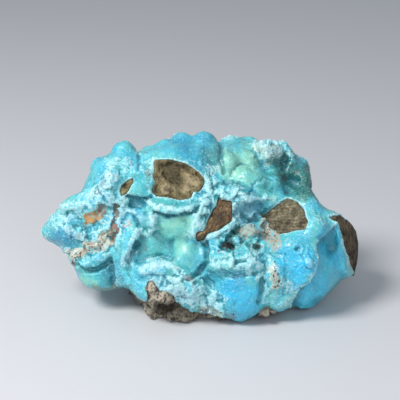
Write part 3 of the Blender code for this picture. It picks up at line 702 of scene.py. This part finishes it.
mottle = lumpy(skin.points, MOTTLE_SIZE, 4)
wobble = lumpy(skin.points, WAVE_SIZE, 3)
crooked = warped(skin, 4.0, 1.2)
rime = np.zeros(len(skin.points))
for stroke in RIMED:
    rime = np.maximum(rime, stroke.amount * stroke_share(crooked, stroke, 0.45, wobble))
rime = np.maximum(rime, 0.55 * lip * skin.facing)
rough = (1.0 - 0.85 * calm) * ramp(all_gap, 0.2, 0.9)
folds = 1.0 - 2.0 * np.abs(lumpy(skin.points, FOLD_SIZE, 4))
angular = np.max([s.amount * stroke_share(crooked, s) for s in ANGULAR], axis=0)
grain = KNOB_HEIGHT * (1.0 - angular) * knobs(skin.points + 0.6 * wobble[:, None], KNOB_SIZE)
grain += FOLD_HEIGHT * folds + WAVE_HEIGHT * wobble
grain += SUGAR_HEIGHT * (1.0 + rime) * lumpy(skin.points, SUGAR_SIZE, 2)
grain += (0.1 + 0.9 * angular) * facets(skin.points, BLOCK_SIZE)
grain += (0.15 + 0.35 * angular) * facets(skin.points, SPLINTER_SIZE)
away = ramp(-skin.toward, 0.0, 0.4)
for size, knob_height, shift in BACK_KNOBS:
    grain += away * knob_height * (knobs(skin.points + shift * wobble[:, None], size) - 0.5)
write_points(crust.data, skin.points + (rough * grain)[:, None] * skin.normals)
skin = skin_of(crust.data)

# What the material reads from the mesh: a tint for the body of the crust, with painted shade
# in its creases, pits and hollows and painted light on the broken face, how much white
# sugary crystal lies on it, how far the rock stains it and where dark specks are. No sugar
# grows on what is CLEAR, and what is ROCKY is a ragged stain.
TINT = {
    "turquoise": (0.10, 0.52, 0.58),
    "sky": (0.06, 0.45, 0.61),
    "deep": (0.015, 0.27, 0.47),
    "vivid": (0.02, 0.50, 0.78),
    # Brighter than vivid, for the broken face: its own vivid blue with painted light
    "bright": (0.04, 0.66, 0.88),
    "teal": (0.06, 0.42, 0.44),
    "shaded_teal": (0.01, 0.18, 0.24),
    "green": (0.16, 0.52, 0.46),
    "pale_green": (0.30, 0.62, 0.46),
    "shaded_dark_green": (0.03, 0.17, 0.15),
    "grey": (0.28, 0.45, 0.52),
    "cream": (0.62, 0.60, 0.50),
    "pink": (0.62, 0.46, 0.44),
    "beige": (0.42, 0.36, 0.28),
    "ochre": (0.52, 0.27, 0.09),
    "olive": (0.20, 0.17, 0.08),
    "greybrown": (0.24, 0.18, 0.14),
    "redbrown": (0.26, 0.13, 0.09),
    "brown": (0.12, 0.08, 0.05),
    "bark_and_shade": (0.07, 0.045, 0.025),
}
CLEAR = {"vivid", "deep", "shaded_dark_green"}
ROCKY = {"cream", "pink", "beige", "ochre", "olive", "greybrown", "redbrown", "brown", "bark_and_shade"}


def mixed(base, tint, share):
    """The tints with that share of another mixed in."""
    return base + share[:, None] * (np.array(tint) - base)


def standing_out(skin, rounds, height):
    """How far the points stand out of the evened surface, from -1 to 1 at that height."""
    out = ((skin.points - evened(skin.points, skin.edges, rounds)) * skin.normals).sum(axis=1)
    return np.clip(out / height, -1.0, 1.0)


crest = standing_out(skin, 6, 0.12)
swell = standing_out(skin, 40, 0.6)
hollow = ramp(-swell - 0.3 * crest, 0.1, 0.9)

tint = np.tile(np.array(TINT["turquoise"]), (len(skin.points), 1))
tint = mixed(tint, TINT["sky"], 0.8 * ramp(mottle, -0.1, 0.4))
tint = mixed(tint, TINT["green"], 0.55 * ramp(-mottle, 0.1, 0.5))
grit = np.minimum(lumpy(skin.points, 0.9, 4) + 0.05, 0.0)
stain = np.zeros(len(skin.points))
clear = np.zeros(len(skin.points))
for stroke in TINTED:
    share = stroke_share(crooked, stroke, 0.35, wobble)
    if stroke.name in CLEAR:
        clear = np.maximum(clear, stroke.amount * share)
    if stroke.name in ROCKY:
        share = ramp(share + 1.6 * grit, 0.2, 0.6)
        stain = np.maximum(stain, stroke.amount * share)
    tint = mixed(tint, TINT[stroke.name], stroke.amount * share)
# The broken face is painted brighter: its own vivid blue with painted light on a face that turns from the
# lamps
tint = mixed(tint, TINT["bright"], 0.8 * on_face * (0.75 + 0.4 * wobble))
tint = mixed(tint, TINT["deep"], 0.4 * face_shade)
# Dark teal in the hollows, less where the rock stains the crust: painted shade
tint = mixed(tint, TINT["shaded_teal"], 0.65 * hollow * (1.0 - stain))
speckle = np.zeros(len(skin.points))
for stroke in SPECKLED:
    speckle = np.maximum(speckle, stroke.amount * stroke_share(crooked, stroke, 0.3, wobble))

# The back is thinner, with rock showing through in patches, most of them low down
behind = (1.0 - skin.facing) * (0.15 + 0.8 * mottle)
patches = lumpy(skin.points + 50.0, 13.0, 4) + 0.4 * ramp(6.0 - base_gap, 0.0, 6.0)
bare = (1.0 - skin.facing) * ramp(patches + 0.25 * wobble, 0.42, 0.62)
tint = mixed(tint, TINT["beige"], 0.8 * bare)
stain = np.maximum(stain, 0.8 * bare)
speckle = np.maximum(speckle, bare)
rime = np.maximum(np.maximum(rime, behind) * (1.0 - 0.8 * on_face), 0.6 * face_rim)
for share, gain in (
    (crest, 0.25), (swell, 0.2), (stain, -0.4), (clear, -0.5), (hollow, -0.8), (calm, -0.3),
):
    rime += gain * share
rime = np.clip(rime, 0.0, 1.0)
sugar = np.clip(2.0 * rime - 0.8, 0.0, 1.0) * (0.25 + 0.75 * skin.facing)
sugar *= ramp(all_gap, 0.5, 1.2) * ramp(skin.points[:, 2], 0.5, 1.5)
sugar *= ramp(crest + swell, -0.4, 0.4)


def store(mesh, name, values):
    """Keeps a number or a colour for each point of the mesh."""
    if values.ndim == 1:
        layer = mesh.attributes.new(name, "FLOAT", "POINT")
        layer.data.foreach_set("value", values.astype(np.float32))
    else:
        layer = mesh.attributes.new(name, "FLOAT_COLOR", "POINT")
        rgba = np.column_stack((np.clip(values, 0.0, 1.0), np.ones(len(values))))
        layer.data.foreach_set("color", rgba.astype(np.float32).ravel())


painted = {"tint": tint, "rime": rime, "stain": stain, "speckle": speckle, "sugar": sugar}
for name, values in painted.items():
    store(crust.data, name, values)

# Hidden places are thinned out first, to keep the fine faces for the front
hidden = np.clip(1.0 - 0.9 * skin.facing + 0.3 * (all_gap < 0.6), 0.0, 1.0)
group = crust.vertex_groups.new(name="hidden")
for level in range(11):
    chosen = np.flatnonzero(np.round(10 * hidden) == level)
    group.add(chosen.tolist(), level / 10, "REPLACE")
triangles = sum(len(p.vertices) - 2 for p in crust.data.polygons)
run_modifier(
    crust, "DECIMATE", ratio=CRUST_TRIANGLES / triangles, vertex_group="hidden",
    vertex_group_factor=10.0,
)
crust.vertex_groups.clear()


def finish_piece(piece, node, material):
    """Keeps the piece above the table, scales it to metres and puts it in the node's place."""
    points = read_points(piece.data)
    points[:, 2] = np.maximum(points[:, 2], 0.0)
    write_points(piece.data, points)
    piece.data.transform(Matrix.Scale(MM, 4))
    piece.data.materials.clear()
    piece.data.materials.append(material)
    piece.data.shade_smooth()
    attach(piece, "root")
    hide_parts(node)


class Finish:
    """Builds one material's nodes: each call adds a node and returns its output."""

    def __init__(self, name, roughness):
        self.material = new_material(name, roughness)
        self.shader = shader_of(self.material)
        self.tree = self.material.node_tree
        self.place = self.add("ShaderNodeTexCoord").outputs["Object"]

    def add(self, kind, **settings):
        node = self.tree.nodes.new(kind)
        for name, value in settings.items():
            setattr(node, name, value)
        return node

    def feed(self, socket, value):
        if isinstance(value, bpy.types.NodeSocket):
            self.tree.links.new(value, socket)
        else:
            socket.default_value = value

    def painted(self, name, output="Fac"):
        return self.add("ShaderNodeAttribute", attribute_name=name).outputs[output]

    def grains(self, size, detail=4.0, distortion=0.0):
        """Noise from 0 to 1 whose lumps are about that size, in millimetres."""
        node = self.add("ShaderNodeTexNoise")
        self.feed(node.inputs["Vector"], self.place)
        node.inputs["Scale"].default_value = 1.0 / (size * MM)
        node.inputs["Detail"].default_value = detail
        node.inputs["Distortion"].default_value = distortion
        return node.outputs["Fac"]

    def spots(self, size):
        """The distance to the middle of the nearest spot, in spot sizes."""
        node = self.add("ShaderNodeTexVoronoi")
        self.feed(node.inputs["Vector"], self.place)
        node.inputs["Scale"].default_value = 1.0 / (size * MM)
        return node.outputs["Distance"]

    def sum(self, *terms):
        """Adds up terms, each a value or a (value, factor) pair."""
        total = 0.0
        for term in terms:
            value, factor = term if isinstance(term, tuple) else (term, 1.0)
            node = self.add("ShaderNodeMath", operation="MULTIPLY_ADD")
            self.feed(node.inputs[0], value)
            self.feed(node.inputs[1], factor)
            self.feed(node.inputs[2], total)
            total = node.outputs[0]
        return total

    def rise(self, value, low, high, to_low=0.0, to_high=1.0):
        node = self.add("ShaderNodeMapRange", interpolation_type="SMOOTHSTEP")
        self.feed(node.inputs["Value"], value)
        limits = {"From Min": low, "From Max": high, "To Min": to_low, "To Max": to_high}
        for name, limit in limits.items():
            node.inputs[name].default_value = limit
        return node.outputs["Result"]

    def mix(self, share, first, second, blend="MIX"):
        node = self.add("ShaderNodeMix", data_type="RGBA", blend_type=blend)
        self.feed(node.inputs[0], share)
        for socket, color in ((node.inputs[6], first), (node.inputs[7], second)):
            self.feed(socket, color if isinstance(color, bpy.types.NodeSocket) else (*color, 1.0))
        return node.outputs[2]

    def bump(self, height, depth, strength=1.0):
        node = self.add("ShaderNodeBump")
        node.inputs["Strength"].default_value = strength
        node.inputs["Distance"].default_value = depth * MM
        self.feed(node.inputs["Height"], height)
        self.feed(self.shader.inputs["Normal"], node.outputs["Normal"])


RIME_COLOR = (0.50, 0.79, 0.84)
CLOUD_COLOR = (0.35, 0.78, 0.84)
GLINT_COLOR = (0.35, 0.75, 0.85)
SPECK_COLOR = (0.07, 0.04, 0.025)


def crust_finish(name):
    """Cloudy, slightly see-through crust under white sugar, rock stain and dark specks."""
    finish = Finish(name, 0.4)
    fine = finish.grains(0.6, 6.0)
    coarse = finish.grains(2.6, 5.0, 0.6)
    rime = finish.sum(finish.painted("rime"), (fine, 2.2), (coarse, 0.8), -1.5)
    rime = finish.rise(rime, 0.0, 1.2, 0.0, 0.85)
    tint = finish.painted("tint", "Color")
    cloudy = finish.rise(coarse, 0.3, 0.7, 0.0, 0.6)
    body = finish.mix(cloudy, tint, CLOUD_COLOR, "MULTIPLY")
    body = finish.mix(finish.rise(fine, 0.5, 0.75, 0.0, 0.22), body, GLINT_COLOR)
    color = finish.mix(rime, body, RIME_COLOR)
    stain = finish.painted("stain")
    stained = finish.rise(finish.sum(stain, (fine, 0.6), -0.3), 0.35, 0.6)
    color = finish.mix(stained, color, tint)
    specks = finish.sum(finish.painted("speckle"), (finish.grains(0.9, 5.0, 1.0), 2.0), -0.9)
    color = finish.mix(finish.rise(specks, 1.1, 1.25), color, SPECK_COLOR)
    finish.feed(finish.shader.inputs["Base Color"], color)
    rough = finish.sum((rime, 0.2), (stain, 0.3), (fine, 0.3), 0.16)
    finish.feed(finish.shader.inputs["Roughness"], rough)
    finish.bump(finish.sum((fine, 0.9), (coarse, 0.6), (rime, 0.25)), 0.3, 1.0)
    shader = finish.shader
    shader.inputs["Subsurface Weight"].default_value = 0.45
    shader.inputs["Subsurface Radius"].default_value = (0.35, 0.9, 1.0)
    shader.inputs["Subsurface Scale"].default_value = 1.6 * MM
    shader.inputs["Coat Weight"].default_value = 0.4
    shader.inputs["Coat Roughness"].default_value = 0.15
    return finish.material


# The crystals
# Tiny clear blades of the same mineral, which grew all over the white places of the crust
# and point out of it.
CRYSTAL_SIZE = (0.42, 0.24, 0.24)
CRYSTAL_DENSITY = 3.0
CRYSTAL_SEED = 5
CRYSTAL_TILT = 0.7
CRYSTAL_GROWTH = (0.5, 1.3)


def crystal_nodes():
    """Scatters blades over a mesh, as thickly as its sugar says."""
    tree = bpy.data.node_groups.new("crystals", "GeometryNodeTree")
    wanted = {
        "Geometry": "NodeSocketGeometry", "Density": "NodeSocketFloat",
        "Size": "NodeSocketVector", "Seed": "NodeSocketInt", "Material": "NodeSocketMaterial",
    }
    for name, kind in wanted.items():
        tree.interface.new_socket(name, in_out="INPUT", socket_type=kind)
    tree.interface.new_socket("Geometry", in_out="OUTPUT", socket_type="NodeSocketGeometry")

    def add(kind, inputs=(), **settings):
        node = tree.nodes.new(kind)
        for name, value in settings.items():
            setattr(node, name, value)
        for name, value in dict(inputs).items():
            socket = node.inputs[name]
            if isinstance(value, bpy.types.NodeSocket):
                tree.links.new(value, socket)
            else:
                socket.default_value = value
        return node

    given = add("NodeGroupInput").outputs
    sugar = add("GeometryNodeInputNamedAttribute", {"Name": "sugar"}, data_type="FLOAT")
    density = add("ShaderNodeMath", operation="MULTIPLY")
    tree.links.new(sugar.outputs["Attribute"], density.inputs[0])
    tree.links.new(given["Density"], density.inputs[1])
    points = add("GeometryNodeDistributePointsOnFaces", {
        "Mesh": given["Geometry"], "Density": density.outputs[0], "Seed": given["Seed"],
    })
    tilt = add("FunctionNodeRandomValue", {"Seed": given["Seed"]}, data_type="FLOAT_VECTOR")
    tilt.inputs[0].default_value = (-CRYSTAL_TILT, -CRYSTAL_TILT, 0.0)
    tilt.inputs[1].default_value = (CRYSTAL_TILT, CRYSTAL_TILT, 2.0 * math.pi)
    turned = add("FunctionNodeRotateRotation", {"Rotation": points.outputs["Rotation"]})
    turned.rotation_space = "LOCAL"
    tree.links.new(tilt.outputs[0], turned.inputs[1])
    growth = add("FunctionNodeRandomValue", {"Seed": given["Seed"]}, data_type="FLOAT")
    growth.inputs[2].default_value = CRYSTAL_GROWTH[0]
    growth.inputs[3].default_value = CRYSTAL_GROWTH[1]
    blade = add("GeometryNodeMeshCone", {
        "Vertices": 5, "Radius Top": 0.3, "Radius Bottom": 0.5, "Depth": 1.0,
    })
    shaped = add("GeometryNodeTransform", {
        "Geometry": blade.outputs["Mesh"], "Scale": given["Size"],
    })
    placed = add("GeometryNodeInstanceOnPoints", {
        "Points": points.outputs["Points"], "Instance": shaped.outputs["Geometry"],
        "Rotation": turned.outputs[0],
    })
    tree.links.new(growth.outputs[1], placed.inputs["Scale"])
    real = add("GeometryNodeRealizeInstances", {"Geometry": placed.outputs["Instances"]})
    covered = add("GeometryNodeSetMaterial", {
        "Geometry": real.outputs["Geometry"], "Material": given["Material"],
    })
    tree.links.new(covered.outputs["Geometry"], add("NodeGroupOutput").inputs["Geometry"])
    return tree


def crystal_finish():
    finish = Finish("crystal_finish", 0.22)
    color = finish.mix(finish.grains(1.5), (0.25, 0.64, 0.72), (0.62, 0.86, 0.88))
    finish.feed(finish.shader.inputs["Base Color"], color)
    finish.shader.inputs["Subsurface Weight"].default_value = 0.35
    finish.shader.inputs["Subsurface Radius"].default_value = (0.5, 0.9, 1.0)
    finish.shader.inputs["Subsurface Scale"].default_value = 1.0 * MM
    return finish.material


crystals = mesh_piece("crystals", crust.data.copy())
scatter = crystals.modifiers.new("scatter", "NODES")
scatter.node_group = crystal_nodes()
chosen = {
    "Density": CRYSTAL_DENSITY,
    "Size": CRYSTAL_SIZE,
    "Seed": CRYSTAL_SEED,
    "Material": crystal_finish(),
}
for item in scatter.node_group.interface.items_tree:
    if item.in_out == "INPUT" and item.name in chosen:
        scatter[item.identifier] = chosen[item.name]
graph = bpy.context.evaluated_depsgraph_get()
grown = bpy.data.meshes.new_from_object(crystals.evaluated_get(graph))
crystals.modifiers.clear()
crystals.data = grown
crystals.data.transform(Matrix.Scale(MM, 4))
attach(crystals, "root")

finish_piece(crust, "hemimorphite_crust", crust_finish("crust_finish"))

# The matrix rock
# Brown host rock, porous and blocky where it broke off, that the crust grew on and the
# specimen rests on.
ROCK_GRAIN = 0.5
ROCK_BLOCKS = ((4.5, 0.8), (1.8, 0.6))
ROCK_WAVE = (1.6, 0.3)
ROCK_PITS = (2.2, 0.5)
PORE_COLOR = (0.025, 0.018, 0.012)
FLECK_COLOR = (0.44, 0.37, 0.27)


def rock_copy(name, node, grain):
    piece = mesh_piece(name, merged_copy(node))
    run_modifier(piece, "REMESH", mode="VOXEL", voxel_size=grain)
    return piece


def rock_finish(name, pores, flecks, roughness=0.8):
    """Broken host rock: the stored tint, darker hollows, pale flecks and fine dark pores."""
    finish = Finish(name, roughness)
    fine = finish.grains(0.45, 6.0, 0.5)
    coarse = finish.grains(2.0, 5.0, 0.6)
    tint = finish.painted("tint", "Color")
    dark = finish.mix(0.75, tint, (0.25, 0.22, 0.2), "MULTIPLY")
    color = finish.mix(finish.rise(coarse, 0.32, 0.6), dark, tint)
    color = finish.mix(finish.rise(fine, 0.52, 0.72, 0.0, flecks), color, FLECK_COLOR)
    hole = finish.sum(finish.spots(0.9), fine, -0.5)
    hole = finish.rise(hole, 0.2, 0.34, 1.0, 0.0)
    hole = finish.sum((hole, pores))
    color = finish.mix(hole, color, PORE_COLOR)
    finish.feed(finish.shader.inputs["Base Color"], color)
    finish.bump(finish.sum((fine, 0.8), (coarse, 0.5), (hole, -1.0)), 0.3, 1.0)
    return finish.material


ROCK_FORMS = [
    Stroke("dark hollow", [(-13.5, -35.3), (-11.3, -36.2), (-9, -35.2)], 1.3, -2.0),
    Stroke("ledge over the hollow", [(-17, -33.8), (-13, -34.2), (-9.5, -33.6)], 0.7, 0.5),
    Stroke("crack right of the ledge", [(-8.6, -30.8), (-8.2, -33), (-7.6, -36), (-7, -39)], 0.6, -0.8),
    Stroke("nub", [(-16.2, -36.5)], 1.5, 0.6),
    Stroke("crack by the nub", [(-14.5, -35.5), (-14, -38.5)], 0.5, -0.6),
    Stroke("slab edge", [(-7, -40.5), (-1, -39), (3, -38)], 0.8, 0.5),
    Stroke("groove above the slab edge", [(-6.5, -38.6), (-1, -37.4)], 0.5, -0.5),
]
ROCK_STAINS_AND_SHADE = [
    Stroke("beige", [(-16, -29), (-15.5, -32), (-12, -32), (-10, -33)], 2.6, 0.9),
    # Near-black in the dark hollow: painted shade
    Stroke("dark", [(-13.5, -35.3), (-11.3, -36.2), (-9, -35.2)], 1.5, 0.95),
    Stroke("beige", [(-17, -35.5), (-16, -37)], 1.2, 0.7),
    Stroke("olive", [(-6, -37), (0, -37)], 2.6, 0.4),
    Stroke("pale", [(20, -34), (23, -36)], 3.0, 0.6),
]
ROCK_TINT = {
    "plain": (0.23, 0.20, 0.15),
    "shade": (0.07, 0.05, 0.035),
    "grain": (0.46, 0.41, 0.33),
    "beige": (0.44, 0.39, 0.31),
    # For the dark hollow: painted shade
    "dark": (0.02, 0.015, 0.01),
    "olive": (0.10, 0.09, 0.05),
    "pale": (0.36, 0.33, 0.29),
}

matrix = rock_copy("matrix", "matrix_rock", ROCK_GRAIN)
skin = skin_of(matrix.data)
above = ramp(skin.points[:, 2], 0.3, 1.5)
relief = ROCK_WAVE[1] * lumpy(skin.points, ROCK_WAVE[0], 3)
relief -= ROCK_PITS[1] * ramp(knobs(skin.points, ROCK_PITS[0]), 0.8, 1.0)
for size, block_height in ROCK_BLOCKS:
    relief += block_height * facets(skin.points, size)
crooked = warped(skin, 2.5, 0.5)
for stroke in ROCK_FORMS:
    relief += stroke.amount * stroke_share(crooked, stroke)
write_points(matrix.data, skin.points + (above * relief)[:, None] * skin.normals)
skin = skin_of(matrix.data)
tint = np.tile(np.array(ROCK_TINT["plain"]), (len(skin.points), 1))
tint = mixed(tint, ROCK_TINT["shade"], 0.7 * ramp(lumpy(skin.points, 6.0), 0.0, 0.5))
tint = mixed(tint, ROCK_TINT["grain"], 0.85 * ramp(lumpy(skin.points, 2.5), 0.0, 0.5))
crooked = warped(skin, 2.5, 0.6)
for stroke in ROCK_STAINS_AND_SHADE:
    tint = mixed(tint, ROCK_TINT[stroke.name], stroke.amount * stroke_share(crooked, stroke))
store(matrix.data, "tint", tint)
finish_piece(matrix, "matrix_rock", rock_finish("matrix_finish", 0.9, 0.35))

# The chips of host rock
# Pieces of the same rock that the crust grew round and that broke flat with it, each with
# its own banding and stain, and painted shade in its sunk marks. Their sides swell out to
# meet the crust.
CHIP_GRAIN = 0.24
CHIP_SWELL = 0.32
CHIP_BLOCKS = ((3.6, 0.7), (1.4, 0.5))
CHIP_WAVE = 0.12
BAND_HEIGHT = 0.09

ChipLook = namedtuple(
    "ChipLook", "node tint pale dark marks band_width band_turn", defaults=(0.0, 0.0)
)
Mark = namedtuple("Mark", "path reach amount")

CHIP_LOOKS = [
    ChipLook(
        "rock_fragment_large", (0.19, 0.155, 0.07), (0.40, 0.32, 0.19), (0.05, 0.04, 0.015),
        [
            Mark([(-10, 9.3), (-8, 7.7)], 2.6, -1.4),
            Mark([(-13, 11), (-11.5, 11)], 1.0, -0.4),
            Mark([(-6, 9), (-4, 7), (-5, 3)], 1.2, 0.6),
            Mark([(-12, 4.5), (-9, 5)], 1.6, 0.4),
            Mark([(-1.5, 6), (-3, 4)], 1.4, 0.6),
        ],
    ),
    ChipLook(
        "rock_fragment_slim", (0.14, 0.08, 0.03), (0.32, 0.22, 0.11), (0.04, 0.022, 0.01),
        [Mark([(7, -1), (8, -6)], 1.0, -0.3), Mark([(-1, -12.5), (2, -9.5)], 1.2, 0.7)],
        band_width=1.0, band_turn=62.0,
    ),
    ChipLook(
        "rock_fragment_right", (0.19, 0.17, 0.10), (0.36, 0.31, 0.20), (0.07, 0.055, 0.035),
        [Mark([(24, -5), (27, -3)], 2.0, 0.2), Mark([(30, -9), (33, -8)], 1.6, -0.3)],
        band_width=1.0, band_turn=4.0,
    ),
    ChipLook(
        "rock_fragment_small", (0.22, 0.19, 0.085), (0.44, 0.38, 0.24), (0.10, 0.08, 0.035),
        [],
    ),
    # The end chip is tinted darker than the others: the rock's brown with painted shade on a face that
    # turns from the light
    ChipLook(
        "rock_fragment_end", (0.085, 0.065, 0.035), (0.24, 0.16, 0.08), (0.025, 0.018, 0.012),
        [Mark([(48, -7.5), (49, -9)], 1.5, 0.5), Mark([(48.5, -21.5), (50, -25)], 1.6, 0.9)],
    ),
]


def bands(skin, width, turn, wander):
    """Fine layers in the rock from -1 to 1, seen at that turn from level."""
    turn = math.radians(turn)
    across = skin.spots @ np.array((-math.sin(turn), math.cos(turn)))
    return np.sin(2.0 * math.pi * across / width + 2.0 * wander)


for chip in CHIP_LOOKS:
    piece = rock_copy(chip.node.replace("rock_fragment", "chip"), chip.node, CHIP_GRAIN)
    skin = skin_of(piece.data)
    outward = skin.normals[skin.facing > 0.9].mean(axis=0)
    outward /= np.linalg.norm(outward)
    face = ramp(skin.normals @ outward, 0.7, 0.95)
    wander = lumpy(skin.points, 3.0, 4)
    relief = CHIP_WAVE * wander
    for size, block_height in CHIP_BLOCKS:
        relief += block_height * facets(skin.points, size)
    mark_share = np.zeros(len(skin.points))
    for mark in chip.marks:
        share = mark.amount * stroke_share(warped(skin, 2.0, 0.6), mark)
        relief += share
        mark_share += share
    layers = np.zeros(len(skin.points))
    if chip.band_width:
        layers = bands(skin, chip.band_width, chip.band_turn, wander)
    relief += BAND_HEIGHT * layers
    relief = face * np.clip(relief - 0.05, -1.2, 0.25) + (1.0 - face) * CHIP_SWELL
    write_points(piece.data, skin.points + relief[:, None] * skin.normals)
    skin = skin_of(piece.data)
    tint = np.tile(np.array(chip.tint), (len(skin.points), 1))
    tint = mixed(tint, chip.pale, 0.7 * ramp(wander + mark_share, 0.1, 0.7))
    # Darker at random where the noise runs low, and in the sunk marks, where it is painted shade
    tint = mixed(tint, chip.dark, 0.8 * ramp(-wander - mark_share, 0.15, 0.7))
    tint = mixed(tint, chip.dark, 0.65 * ramp(layers, 0.1, 0.9))
    store(piece.data, "tint", tint)
    finish_piece(piece, chip.node, rock_finish(piece.name + "_finish", 0.25, 0.25))
